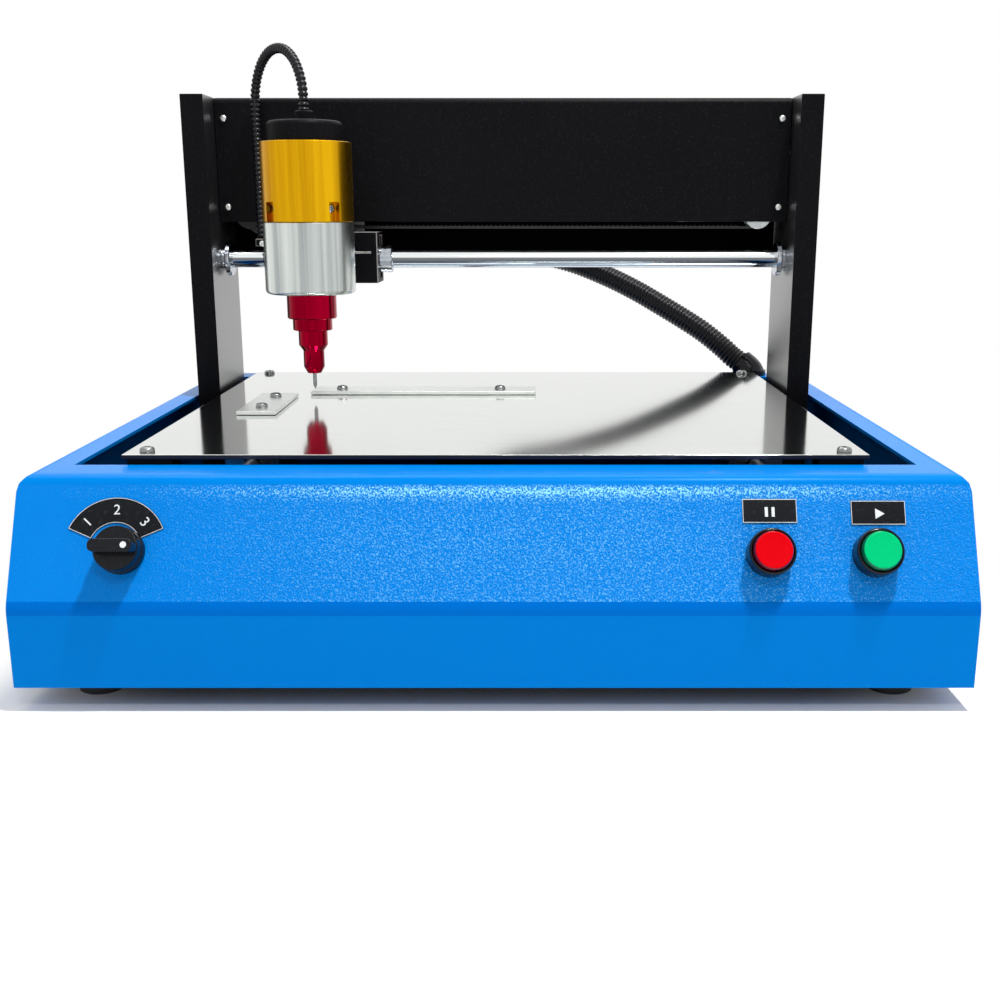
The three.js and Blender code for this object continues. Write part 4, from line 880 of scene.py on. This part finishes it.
def makePlate():
    low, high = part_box("marking_plate")
    sheet = dressBlock("marking_plate", "mirrorPlate", "mirrorSteel", plate["edge"])
    addFinish(sheet, "darkEdge", lambda normal: normal.z <= plate["topTilt"])
    places = [(x, y, high.z) for x in (low.x + plate["screwInX"], high.x - plate["screwInX"])
              for y in (low.y + plate["screwInY"], high.y - plate["screwInY"])]
    putScrews("plateScrew", places, "up", "screwSteel", "base", turn=plate["screwTurn"])


def makeFences():
    for side, shares in plate["fences"].items():
        node = side + "_fence"
        low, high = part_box(node)
        dressBlock(node, side + "FenceBar", "fenceSteel", plate["fenceEdge"])
        alongX = high.x - low.x > high.y - low.y
        middle = middleOf(node)
        places = []
        for share in shares:
            at = low.lerp(high, share)
            places.append((at.x, middle.y, high.z) if alongX else (middle.x, at.y, high.z))
        putScrews(side + "FenceScrew", places, "up", "screwSteel", "base",
                  size=plate["fenceScrew"], turn=plate["fenceScrewTurn"])


makePlate()
makeFences()
print("plate made")


# Gantry: uprights, cover, back panel and rails

gantry = {
    "edge": 0.5 * mm, "coverEdge": 0.3 * mm, "innerFace": 0.9,
    "coverInset": 4.8 * mm, "coverRise": 7.8 * mm, "coverDrop": 10.8 * mm, "coverScrew": 0.6,
    "backInset": 12 * mm, "backRise": 14 * mm, "backScrew": 0.7,
}

rail = {
    "steps": 64, "thicker": 0.8 * mm, "edge": 0.4 * mm,
    "bore": 4.9 * mm, "hub": 6.5 * mm, "rimWidth": 2.8 * mm,
    "bearingEdge": 0.5 * mm, "grooveDepth": 0.35 * mm, "groove": (3 * mm, 3.1 * mm, 4.1 * mm, 4.2 * mm),
}


def makeUprights():
    for side, inward in (("left", 1), ("right", -1)):
        bar = dressBlock(side + "_upright", side + "Upright", "blackPowder", gantry["edge"])
        addFinish(bar, "sideGloss", lambda normal: normal.x * inward > gantry["innerFace"])


def makeBeam():
    dressCopy("beam_front_cover", "beamCover", "blackPowder", gantry["coverEdge"])
    dressCopy("beam_back_panel", "beamPanel", "shadedBlack", gantry["coverEdge"])
    low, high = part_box("beam_front_cover")
    places = [(x, low.y, z) for x in (low.x + gantry["coverInset"], high.x - gantry["coverInset"])
              for z in (low.z + gantry["coverRise"], high.z - gantry["coverDrop"])]
    putScrews("coverScrew", places, "front", "fenceSteel", "gantry",
              size=gantry["coverScrew"], turn=12)
    low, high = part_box("beam_back_panel")
    places = [(x, high.y, z) for x in (low.x + gantry["backInset"], high.x - gantry["backInset"])
              for z in (low.z + gantry["backRise"], high.z - gantry["backRise"])]
    putScrews("backPanelScrew", places, "back", "screwSteel", "gantry",
              size=gantry["backScrew"], turn=25)


def makeRail(node, name, finish="chrome", thicker=0.0):
    low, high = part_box(node)
    size = high - low
    half, radius, edge = max(size) / 2, min(size) / 2 + thicker, rail["edge"]
    bar = turnProfile([
        (0, -half), (radius - edge, -half), (radius, -half + edge),
        (radius, half - edge), (radius - edge, half), (0, half),
    ], steps=rail["steps"], smooth=30)
    moveTo(bar, middleOf(node), "right" if size.x > size.y else "back")
    standIn(bar, name, finish, node)


def makeFlange(side, heading):
    node = side + "_rail_flange"
    low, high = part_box(node)
    bore, hub, edge = rail["bore"], rail["hub"], rail["edge"]
    rim, full = (high.z - low.z) / 2, high.x - low.x
    disc = full - rail["rimWidth"]
    flange = turnProfile([
        (bore, 0), (hub, 0), (hub, disc), (rim - edge, disc), (rim, disc + edge),
        (rim, full - edge), (rim - edge, full), (bore, full), (bore, 0),
    ], steps=rail["steps"], smooth=35)
    middle = middleOf(node)
    moveTo(flange, (low.x if heading == "right" else high.x, middle.y, middle.z), heading)
    standIn(flange, side + "RailFlange", "chrome", node)


def makeBearing(side):
    node = side + "_rail_bearing"
    low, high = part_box(node)
    bore, edge = rail["bore"], rail["bearingEdge"]
    outer, length = (high.z - low.z) / 2, high.x - low.x
    deep = outer - rail["grooveDepth"]
    groove = list(zip((outer, deep, deep, outer), rail["groove"]))
    bearing = turnProfile(
        [(bore, 0), (outer - edge, 0), (outer, edge)] + groove
        + [(radius, length - at) for radius, at in reversed(groove)]
        + [(outer, length - edge), (outer - edge, length), (bore, length), (bore, 0)],
        steps=rail["steps"], smooth=35)
    middle = middleOf(node)
    moveTo(bearing, (low.x, middle.y, middle.z), "right")
    standIn(bearing, side + "RailBearing", "chrome", node)


makeUprights()
makeBeam()
makeRail("lower_beam_rail", "lowerBeamRail", "railChrome", rail["thicker"])
makeRail("upper_beam_rail", "upperBeamRail")
makeRail("left_guide_rail", "leftGuideRail")
makeRail("right_guide_rail", "rightGuideRail")
makeFlange("left", "right")
makeFlange("right", "left")
makeBearing("left")
makeBearing("right")
print("gantry made")


# Marking head

head = {
    "radius": 23 * mm, "edge": 0.3 * mm,
    "ringBore": 15 * mm, "notchFloor": 19 * mm, "notchWidth": 6.2 * mm, "notchTop": 9.6 * mm,
    "ringEdge": 0.12 * mm, "screwLevel": 189.7 * mm, "screwSize": 0.72,
    "fillet": 2.3 * mm, "bodyBore": 5.4 * mm, "wall": 3.5 * mm, "floor": 4 * mm,
    "nose": [  # in millimetres, as the tip
        (1.4, 106), (3.45, 106), (3.7, 106.25), (5.4, 109.4), (5.4, 117.7), (7.5, 120.7), (7.5, 128.15),
        (7.75, 128.4), (9.9, 128.4), (10.15, 128.65), (10.15, 134.15), (10.4, 134.4), (12.2, 134.4),
        (12.7, 134.9), (12.7, 146.55), (12.45, 146.8), (5, 146.8), (5, 122), (1.4, 122), (1.4, 106),
    ],
    "capRadius": 19 * mm, "capRound": 2.5 * mm, "boss": 4.5 * mm, "bossHeight": 5 * mm,
    "bossEdge": 0.6 * mm,
    "tip": [(0, 0), (0.21, 0.05), (0.35, 0.3), (1, 2)],
    "seat": 138 * mm, "stem": 1 * mm,
    "plunger": 4.4 * mm, "plungerEdge": 0.4 * mm,
    "wire": 0.55 * mm, "turns": 6, "turnSteps": 40, "wireMerge": 0.00001, "coilEdge": 0.4 * mm,
}


def putOnHead(piece, level=0.0):
    return moveTo(piece, (headMiddle.x, headMiddle.y, level))


def makeRing():
    low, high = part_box("head_ring")
    r, bore, edge, half = head["radius"], head["ringBore"], head["edge"], head["notchWidth"] / 2
    ring = turnProfile([
        (bore, low.z), (r - edge, low.z), (r, low.z + edge), (r, high.z - edge), (r - edge, high.z),
        (bore, high.z), (bore, low.z),
    ], steps=120)
    turns = [Matrix.Rotation(math.radians(45 + 90 * number), 4, "Z") for number in range(4)]
    for turn in turns:
        cutter = addBlock((head["notchFloor"], -half, low.z - 2 * mm),
                          (r + 2 * mm, half, low.z + head["notchTop"]))
        cutter.data.transform(turn)
        cutAway(ring, cutter)
    softenEdges(ring, head["ringEdge"], segments=1, angle=50, smooth=35)
    standIn(putOnHead(ring), "goldRing", "goldAnodised", "head_ring")
    centre = Matrix.Translation((headMiddle.x, headMiddle.y, head["screwLevel"]))
    outwards = Matrix.Translation((head["notchFloor"], 0, 0)) @ turnTo["right"]
    size = Matrix.Diagonal((head["screwSize"],) * 3 + (1,))
    for number, turn in enumerate(turns, 1):
        placedCopy(screwMaster, "ringScrew" + str(number), centre @ turn @ outwards @ size,
                   "screwSteel", "carriage")


def makeHeadBody():
    low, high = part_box("head_body")
    r, fillet, bore, edge = head["radius"], head["fillet"], head["bodyBore"], head["edge"]
    inside, level = r - head["wall"], low.z + head["floor"]
    body = turnProfile([(bore, low.z)] + quarterRound((r - fillet, low.z + fillet), fillet, -90) + [
        (r, high.z - edge), (r - edge, high.z), (inside, high.z),
        (inside, level), (bore, level), (bore, low.z),
    ], steps=120, smooth=32)
    standIn(putOnHead(body), "turnedBody", "turnedAluminium", "head_body")


def makeNose():
    nose = turnProfile(inMm(head["nose"]), steps=96, smooth=32)
    standIn(putOnHead(nose), "steppedNose", "redAnodised", "head_nose")


def makeHeadCap():
    low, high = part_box("head_cap")
    r, soft, edge = head["capRadius"], head["capRound"], head["edge"]
    boss, bossEdge, top = head["boss"], head["bossEdge"], high.z - head["bossHeight"]
    cap = turnProfile(
        [(0, low.z), (r - edge, low.z), (r, low.z + edge)] + quarterRound((r - soft, top - soft), soft, 0)
        + [(boss + bossEdge, top), (boss, top + bossEdge), (boss, high.z - bossEdge),
           (boss - bossEdge, high.z), (0, high.z)],
        steps=96, smooth=35)
    standIn(putOnHead(cap), "headCapTop", "blackPowder", "head_cap")


def makeStylus():
    low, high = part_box("stylus")
    plunger, edge, seat = head["plunger"], head["plungerEdge"], head["seat"]
    tip = [(radius * mm, low.z + up * mm) for radius, up in head["tip"]]
    needle = turnProfile(tip + [
        (head["stem"], seat), (plunger - edge, seat), (plunger, seat + edge), (plunger, high.z - edge),
        (plunger - edge, high.z), (0, high.z),
    ], steps=48, smooth=32)
    standIn(putOnHead(needle), "stylusNeedle", "screwSteel", "stylus")


def makeSpring():
    low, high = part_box("stylus_spring")
    wire, outer = head["wire"], (high.x - low.x) / 2
    deselectAll()
    bpy.ops.mesh.primitive_circle_add(vertices=12, radius=wire,
                                      location=(outer - wire, 0, 0), rotation=(math.pi / 2, 0, 0))
    coil = bpy.context.object
    applyPlace(coil)
    applyModifier(coil, "SCREW", axis="Z", screw_offset=(high.z - low.z - 2 * wire) / head["turns"],
                  iterations=head["turns"], angle=math.tau, steps=head["turnSteps"],
                  render_steps=head["turnSteps"])
    startEdit(coil)
    endEdit(merge=head["wireMerge"], fill=True)
    smoothPiece(coil, 60)
    putOnHead(coil, low.z + wire)
    standIn(coil, "returnSpring", "chrome", "stylus_spring", body=False)
    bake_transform(coil)


makeRing()
makeHeadBody()
makeNose()
makeHeadCap()
makeStylus()
makeSpring()
dressCopy("solenoid_coil", "copperCoil", "copperWinding", head["coilEdge"])
print("head made")


# Carriage

carriage = {
    "edge": 0.4 * mm, "frame": 1.6 * mm, "recess": 0.9 * mm,
    "recessFrom": 15 * mm, "faceDepth": 1 * mm, "faceArea": 100 * mm * mm,
    "pin": [(0, 0), (0.55, 0), (0.65, 0.1), (0.65, 8.65), (0.55, 8.75), (0, 8.75)],  # millimetres
    "pinIn": 9.6 * mm, "pinDepth": 0.55 * mm, "pinLevel": 167.2 * mm,
    "lugScrewAside": 27.4 * mm, "lugScrewLevel": 171.8 * mm, "lugScrew": 0.5,
}


def makeCarriage():
    low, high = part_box("carriage_block")
    block = copyOfSolid("carriage_block", 0.0)
    startEdit(block)
    bpy.ops.mesh.select_mode(type="FACE")
    bpy.ops.mesh.select_all(action="DESELECT")
    bpy.ops.object.mode_set(mode="OBJECT")
    for face in block.data.polygons:
        face.select = (face.normal.y < -0.99 and face.center.x > headMiddle.x + carriage["recessFrom"]
                       and face.center.y < low.y + carriage["faceDepth"]
                       and face.area > carriage["faceArea"])
    bpy.ops.object.mode_set(mode="EDIT")
    bpy.ops.mesh.inset(thickness=carriage["frame"], depth=-carriage["recess"])
    bpy.ops.mesh.select_mode(type="VERT")
    bpy.ops.object.mode_set(mode="OBJECT")
    standIn(block, "carriageHousing", "blackPowder", "carriage_block")
    # the block's softened edges take a pale grey, a painted highlight
    block.data.materials.append(materials["paintedEdgeHighlight"])
    softenEdges(block, carriage["edge"], segments=3, rim=1)
    dressCopy("carriage_riser", "carriagePlate", "plainAluminium", carriage["edge"])
    pin = turnProfile(inMm(carriage["pin"]), steps=24, smooth=35)
    moveTo(pin, (high.x - carriage["pinIn"], low.y + carriage["pinDepth"], carriage["pinLevel"]), "right")
    standIn(pin, "carriagePin", "screwSteel", body="carriage")
    lug = (headMiddle.x - carriage["lugScrewAside"], low.y, carriage["lugScrewLevel"])
    putScrews("lugScrew", [lug], "front", "fenceSteel", "carriage", size=carriage["lugScrew"], turn=10)


makeCarriage()
print("carriage made")


# Controls on the sloped panel, with their places and profiles in millimetres

panel = {"lean": 64.0, "level": 42 * mm}

controls = {
    "buttons": {"red": (105.3, 20.9), "green": (146, 20.9)},
    "selector": (-142.3, 22),
    "seat": 0.3,  # where the part behind a bezel is cut off
    "bezel": [
        (0, 0.3), (8.9, 0.3), (9, 0.4), (9, 7.5), (8.85, 8.0), (8.55, 8.3), (8.25, 8.4), (8.0, 8.25),
        (8.0, 2), (0, 2),
    ],
    "cap": [
        (0, 4.8), (7.5, 4.8), (7.6, 4.9), (7.6, 9.0), (7.5, 9.5), (7.05, 10.35), (6.9, 10.5),
        (6.6, 10.6), (6.3, 10.52), (4, 10.44), (0, 10.42),
    ],
    "capFace": 0.6,
    "collar": [(0, 0.3), (8.9, 0.3), (9, 0.4), (9, 3.3), (8.8, 3.8), (8.5, 4), (0, 4)],
    "disc": [(0, 4.3), (8.5, 4.3), (8.6, 4.4), (8.6, 8.2), (8.4, 8.7), (8.0, 8.9), (0, 8.9)],
    "grip": ((-8.3, -2.5, 8.5), (8.3, 2.5, 15.2)),
    "gripRound": 2.2 * mm, "gripEdge": 0.5 * mm,
    "dot": [(0, 0), (1.2, 0), (1.2, 0.12), (0, 0.12)], "dotAside": 5.3,
}


def onPanel(x, rise, height=0.0):
    return Matrix.Translation((x * mm, bandFace, panel["level"])) @ Matrix.Rotation(
        math.radians(panel["lean"]), 4, "X") @ Matrix.Translation((0, rise * mm, height * mm))


def makeFitting(node, name, profile, place):
    # what is seen on the panel is turned, and what lies behind it is the solid, cut off there
    front = turnProfile(inMm(profile), smooth=35)
    front.data.transform(onPanel(*place))
    behind = copyOfSolid(node, 0.0)
    startEdit(behind)
    face = onPanel(*place, controls["seat"])
    bpy.ops.mesh.bisect(plane_co=face.translation, plane_no=face.to_3x3() @ Vector((0, 0, 1)),
                        use_fill=True, clear_outer=True, threshold=working["tellsApart"])
    endEdit()
    standIn(joinPieces([front, behind]), name, "blackPlastic", node)


def makeButtons():
    for colour, place in controls["buttons"].items():
        makeFitting(colour + "_button_body", colour + "ButtonBezel", controls["bezel"], place)
        cap = turnProfile(inMm(controls["cap"]), smooth=40)
        standIn(cap, colour + "ButtonCap", colour + "Cap", colour + "_button_cap")
        # the sloped rim of a cap takes the darker copy of its colour, painted shade
        addFinish(cap, colour + "CapShadedSide", lambda normal: normal.z <= controls["capFace"])
        cap.data.transform(onPanel(*place))


def makeSelector():
    makeFitting("selector_base", "selectorCollar", controls["collar"], controls["selector"])
    disc = turnProfile(inMm(controls["disc"]), smooth=35)
    low, high = [Vector(corner) * mm for corner in controls["grip"]]
    grip = addBlock(low, high)
    weights = grip.data.attributes.new("bevel_weight_edge", "FLOAT", "EDGE")
    for edge in grip.data.edges:
        start, end = [grip.data.vertices[v].co for v in edge.vertices]
        weights.data[edge.index].value = 1.0 if abs(start.z - end.z) > 1 * mm else 0.0
    applyModifier(grip, "BEVEL", width=controls["gripRound"], segments=8, limit_method="WEIGHT")
    softenEdges(grip, controls["gripEdge"], segments=4, angle=50)
    knob = joinPieces([disc, grip])
    knob.data.transform(onPanel(*controls["selector"]))
    standIn(knob, "selectorGrip", "blackPlastic", "selector_knob")
    x, rise = controls["selector"]
    dot = turnProfile(inMm(controls["dot"]), steps=32)
    dot.data.transform(onPanel(x + controls["dotAside"], rise, high.z / mm))
    standIn(dot, "selectorDot", "labelLine", body="selector")


# Labels above the controls, in millimetres, with raised lines and signs

label = {
    "places": {"red": (106.2, 37.9), "green": (148.0, 37.2)},
    "half": (10.5, 4.75), "thick": 0.45, "edge": 0.2 * mm,
    "raised": 0.06, "raisedEdge": 0.02 * mm,
    "border": [
        ((-10.4, 4.4), (10.4, 4.62)), ((-10.4, -4.62), (10.4, -4.4)),
        ((-10.4, -4.4), (-10.2, 4.4)), ((10.2, -4.4), (10.4, 4.4)),
    ],
    "pause": [((-1.9, -1.9), (-0.7, 1.9)), ((0.7, -1.9), (1.9, 1.9))],
    "start": 2.4, "signDrop": 0.4,
}

arc = {
    "place": (-145.2, 23.3), "sheet": (9.9, 19.9, 67.5), "edge": 0.12 * mm, "steps": 40,
    "rims": [(19.55, 19.75, 67), (10.05, 10.25, 66)],  # inner and outer radius, and half the angle
    "ends": (10.1, 19.7), "endWidth": 0.2, "endAngle": 66.7,
    "digits": {"1": 137, "2": 90, "3": 43}, "digitSize": 5.6 * mm, "digitRadius": 14.9,
    "merge": 0.000005,
}


def finishRaised(piece, name, place):
    # puts lines or a sign on a label
    softenEdges(piece, label["raisedEdge"], segments=1)
    piece.data.transform(place)
    standIn(piece, name, "labelLine", body="base")


def addBars(bars):
    return joinPieces([
        addBlock((x * mm, y * mm, 0), (toX * mm, toY * mm, label["raised"] * mm))
        for (x, y), (toX, toY) in bars
    ])


def addTriangle(radius):
    deselectAll()
    raised = label["raised"] * mm
    bpy.ops.mesh.primitive_cylinder_add(vertices=3, radius=radius * mm, depth=raised,
                                        location=(0, 0, raised / 2), rotation=(0, 0, -math.pi / 2))
    sign = bpy.context.object
    applyPlace(sign)
    return sign


def makeLabels():
    halfX, halfY = label["half"][0] * mm, label["half"][1] * mm
    for side, (x, rise) in label["places"].items():
        sheet = addBlock((-halfX, -halfY, 0), (halfX, halfY, label["thick"] * mm))
        softenEdges(sheet, label["edge"])
        sheet.data.transform(onPanel(x, rise))
        standIn(sheet, side + "Label", "labelInk", body="base")
        top = onPanel(x, rise, label["thick"])
        finishRaised(addBars(label["border"]), side + "LabelBorder", top)
        sign = addBars(label["pause"]) if side == "red" else addTriangle(label["start"])
        finishRaised(sign, side + "Sign", onPanel(x, rise - label["signDrop"], label["thick"]))


def arcSheet(inner, outer, half, low, high):
    # a flat sheet about the origin, from an inner to an outer radius, and half to each side of Y
    deselectAll()
    bpy.ops.mesh.primitive_plane_add(
        size=1, location=((inner + outer) / 2 * mm, 0, (low + high) / 2 * mm), rotation=(math.pi / 2, 0, 0))
    sheet = bpy.context.object
    sheet.scale = ((outer - inner) * mm, (high - low) * mm, 1)
    applyPlace(sheet)
    startEdit(sheet)
    bpy.ops.mesh.spin(steps=arc["steps"], angle=math.radians(2 * half), center=(0, 0, 0), axis=(0, 0, 1))
    endEdit(merge=arc["merge"])
    reach = [v.co.y for v in sheet.data.vertices]
    turned = 90 - half if max(reach) > -min(reach) else 90 + half
    sheet.data.transform(Matrix.Rotation(math.radians(turned), 4, "Z"))
    return sheet


def makeArcLabel():
    place, thick = onPanel(*arc["place"]), label["thick"]
    top = thick + label["raised"]
    sheet = arcSheet(*arc["sheet"], 0, thick)
    softenEdges(sheet, arc["edge"], segments=1, angle=50)
    sheet.data.transform(place)
    standIn(sheet, "arcLabel", "labelInk", body="base")
    rims = [arcSheet(*rim, thick, top) for rim in arc["rims"]]
    (start, stop), half = arc["ends"], arc["endWidth"] / 2 * mm
    for angle in (90 - arc["endAngle"], 90 + arc["endAngle"]):
        end = addBlock((start * mm, -half, thick * mm), (stop * mm, half, top * mm))
        end.data.transform(Matrix.Rotation(math.radians(angle), 4, "Z"))
        rims.append(end)
    finishRaised(joinPieces(rims), "arcLabelRim", place)
    middle = thick + label["raised"] / 2
    for digit, angle in arc["digits"].items():
        deselectAll()
        bpy.ops.object.text_add(location=(0, 0, 0))
        text = bpy.context.object
        text.data.body = digit
        text.data.size = arc["digitSize"]
        text.data.extrude = label["raised"] / 2 * mm
        text.data.align_x = "CENTER"
        text.data.align_y = "CENTER"
        text.data.resolution_u = 6
        choose(text)
        bpy.ops.object.convert(target="MESH")
        number = bpy.context.object
        number.data.transform(place @ Matrix.Rotation(math.radians(angle - 90), 4, "Z")
                              @ Matrix.Translation((0, arc["digitRadius"] * mm, middle * mm)))
        standIn(number, "dialNumber" + digit, "labelLine", body="base")


makeButtons()
makeSelector()
makeLabels()
makeArcLabel()
print("controls made")


# Drives, electrics and frames, seen through the gaps and from behind

inner = {
    "edge": 0.4 * mm,
    "copies": (
        ("left_rail_frame", "leftFrame", "blackPowder"),
        ("right_rail_frame", "rightFrame", "blackPowder"),
        ("gantry_motor", "gantryMotorBody", "blackGloss"),
        ("gantry_idler_bracket", "idlerBracket", "plainAluminium"),
        ("power_supply", "supplyBox", "plainAluminium"), ("control_board", "controlCard", "circuitBoard"),
        ("left_bearing_block", "leftBearingBlock", "plainAluminium"),
        ("right_bearing_block", "rightBearingBlock", "plainAluminium"),
        ("gantry_cross_tie", "crossTie", "blackPowder"),
        ("carriage_motor", "carriageMotorBody", "blackGloss"),
        ("mains_inlet", "mainsSocket", "blackPlastic"),
        ("power_switch_frame", "switchFrame", "blackPlastic"),
        ("power_switch_rocker", "switchRocker", "blackGloss"),
        ("data_socket", "dataPort", "plainAluminium"),
        ("housing_conduit_elbow", "housingElbow", "blackPlastic"),
        ("beam_conduit_elbow", "beamElbow", "blackPlastic"),
    ),
}

tooth = {
    "pitch": 2.5 * mm, "count": 104, "width": 1.2 * mm, "inset": 0.2 * mm,
    "levels": (1.2 * mm, 2.0 * mm), "edge": 0.2 * mm,
}

pulley = {
    "bore": 2.6 * mm, "flange": 1 * mm, "flangeRise": 1.8 * mm, "flangeEdge": 0.2 * mm,
    "edge": 0.05 * mm,
}


def makeInner():
    for node, name, finish in inner["copies"]:
        dressCopy(node, name, finish, inner["edge"])
    for side in ("gantry", "carriage"):
        dressCopy(side + "_belt", side + "BeltLoop", "blackRubber", 0.0)


def makeBeltTeeth():
    # the lower run of the carriage's belt, seen under the cover
    low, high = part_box("carriage_belt")
    start = -tooth["count"] / 2 * tooth["pitch"]
    bottom, top = tooth["levels"]
    row = addBlock((start, low.y + tooth["inset"], low.z + bottom),
                   (start + tooth["width"], high.y - tooth["inset"], low.z + top))
    softenEdges(row, tooth["edge"], segments=1)
    applyModifier(row, "ARRAY", use_relative_offset=False, use_constant_offset=True,
                  constant_offset_displace=(tooth["pitch"], 0, 0), count=tooth["count"])
    standIn(row, "carriageBeltTeeth", "blackRubber", body="gantry")


def makePulley(node, name, finish="plainAluminium"):
    low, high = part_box(node)
    size = high - low
    half, rim = min(size) / 2, max(size) / 2
    bore, flange, edge = pulley["bore"], pulley["flange"], pulley["flangeEdge"]
    drum = rim - pulley["flangeRise"]
    wheel = turnProfile([
        (bore, -half), (rim - edge, -half), (rim, -half + edge), (rim, -half + flange),
        (drum, -half + flange), (drum, half - flange), (rim, half - flange), (rim, half - edge),
        (rim - edge, half), (bore, half), (bore, -half),
    ], steps=64)
    softenEdges(wheel, pulley["edge"], segments=1, angle=60)
    moveTo(wheel, middleOf(node), "right" if size.x < min(size.y, size.z) else "back")
    standIn(wheel, name, finish, node)


makeInner()
makeBeltTeeth()
print("drives made")

makePulley("gantry_drive_pulley", "gantryDriveWheel")
makePulley("gantry_idler_pulley", "gantryIdlerWheel")
makePulley("carriage_drive_pulley", "carriageDriveWheel", "blackPlastic")
makePulley("carriage_idler_pulley", "carriageIdlerWheel")
bpy.data.objects.remove(screwMaster)


# Floor, lamps and background

studio = {
    "floor": 0.9, "floorRough": 0.9, "floorRadius": 1.2, "fade": (0.19, 0.42), "sideFade": (0.188, 0.215),
    "ambient": 0.55, "horizonShare": 0.5, "skyTop": 0.6,
    "lamps": {
        "keyLamp": {"place": (0.34, -0.3, 1.5), "aim": (0, -0.1, 0.07), "size": (0.1, 0.1), "power": 22},
        "sheenLamp": {"place": (0.1, -1.12, 1.22), "aim": (0.02, -0.15, 0.06), "size": (0.3, 0.1),
                      "power": 3.6},
        "backLamp": {"place": (-0.2, 0.75, 1.3), "aim": (0, 0, 0.05), "size": (1.2, 0.6), "power": 7},
    },
}


def addSeenRays(tree):
    # one where a ray of the camera, or one through a mirror or glass, meets the surface
    rays = addNode(tree, "LightPath", {})
    seen = addMath(tree, "ADD", rays["Is Camera Ray"], rays["Is Glossy Ray"])
    return addMath(tree, "ADD", seen, rays["Is Transmission Ray"], use_clamp=True)


def makeFloor():
    # keeps the shadow in front of the machine and fades into the white background further away; beside the
    # machine the white glow comes in close and covers the lamps' shadow there with painted light
    deselectAll()
    bpy.ops.mesh.primitive_circle_add(vertices=96, radius=studio["floorRadius"], fill_type="NGON",
                                      location=(0, 0, 0))
    floor = bpy.context.object
    floor.name = "studioFloor"
    material = bpy.data.materials.new("paleFloor")
    material.use_nodes = True
    tree = material.node_tree
    surface = tree.nodes["Principled BSDF"]
    feed(tree, surface, {
        "Base Color": (*[studio["floor"]] * 3, 1), "Roughness": studio["floorRough"],
        "Specular IOR Level": 0.0,
    })
    place = addNode(tree, "TexCoord", {})["Object"]
    away = addNode(tree, "VectorMath", {0: place}, operation="LENGTH")["Value"]
    aside = addMath(tree, "ABSOLUTE", addNode(tree, "SeparateXYZ", {"Vector": place})["X"])
    # the side fade glows white over the shadow beside the machine: painted light
    fades = [addRange(tree, distance, *studio[key], interpolation_type="SMOOTHSTEP")
             for distance, key in ((away, "fade"), (aside, "sideFade"))]
    share = addMath(tree, "MULTIPLY", addMath(tree, "MAXIMUM", *fades), addSeenRays(tree))
    white = addNode(tree, "Emission", {"Strength": 1.0})
    blend = addNode(tree, "MixShader", {0: share, 1: surface.outputs[0], 2: white[0]})
    feed(tree, tree.nodes["Material Output"], {"Surface": blend[0]})
    floor.data.materials.append(material)


def makeLamp(name, look):
    deselectAll()
    place = Vector(look["place"])
    bpy.ops.object.light_add(type="AREA", location=place)
    lamp = bpy.context.object
    lamp.name = name
    lamp.rotation_euler = (Vector(look["aim"]) - place).to_track_quat("-Z", "Y").to_euler()
    lamp.data.shape = "RECTANGLE"
    lamp.data.size, lamp.data.size_y = look["size"]
    lamp.data.energy = look["power"]


def makeWorld():
    # white where it is seen or mirrored, and a soft sky, paler overhead, for the light itself
    world = bpy.data.worlds.new("paleRoom")
    bpy.context.scene.world = world
    world.use_nodes = True
    tree = world.node_tree
    tree.nodes.clear()
    way = addNode(tree, "TexCoord", {})["Generated"]
    level = addNode(tree, "SeparateXYZ", {"Vector": way})["Z"]
    overhead = studio["ambient"]
    sky = addRange(tree, level, 0.0, studio["skyTop"], overhead * studio["horizonShare"], overhead)
    strength = addNode(tree, "Mix", {0: addSeenRays(tree), 2: sky, 3: 1.0}, data_type="FLOAT")
    background = addNode(tree, "Background", {"Color": (1, 1, 1, 1), "Strength": strength[0]})
    addNode(tree, "OutputWorld", {"Surface": background[0]})


makeFloor()
for lampName, lampLook in studio["lamps"].items():
    makeLamp(lampName, lampLook)
makeWorld()
bpy.context.scene.view_settings.view_transform = "Standard"
print("studio made")
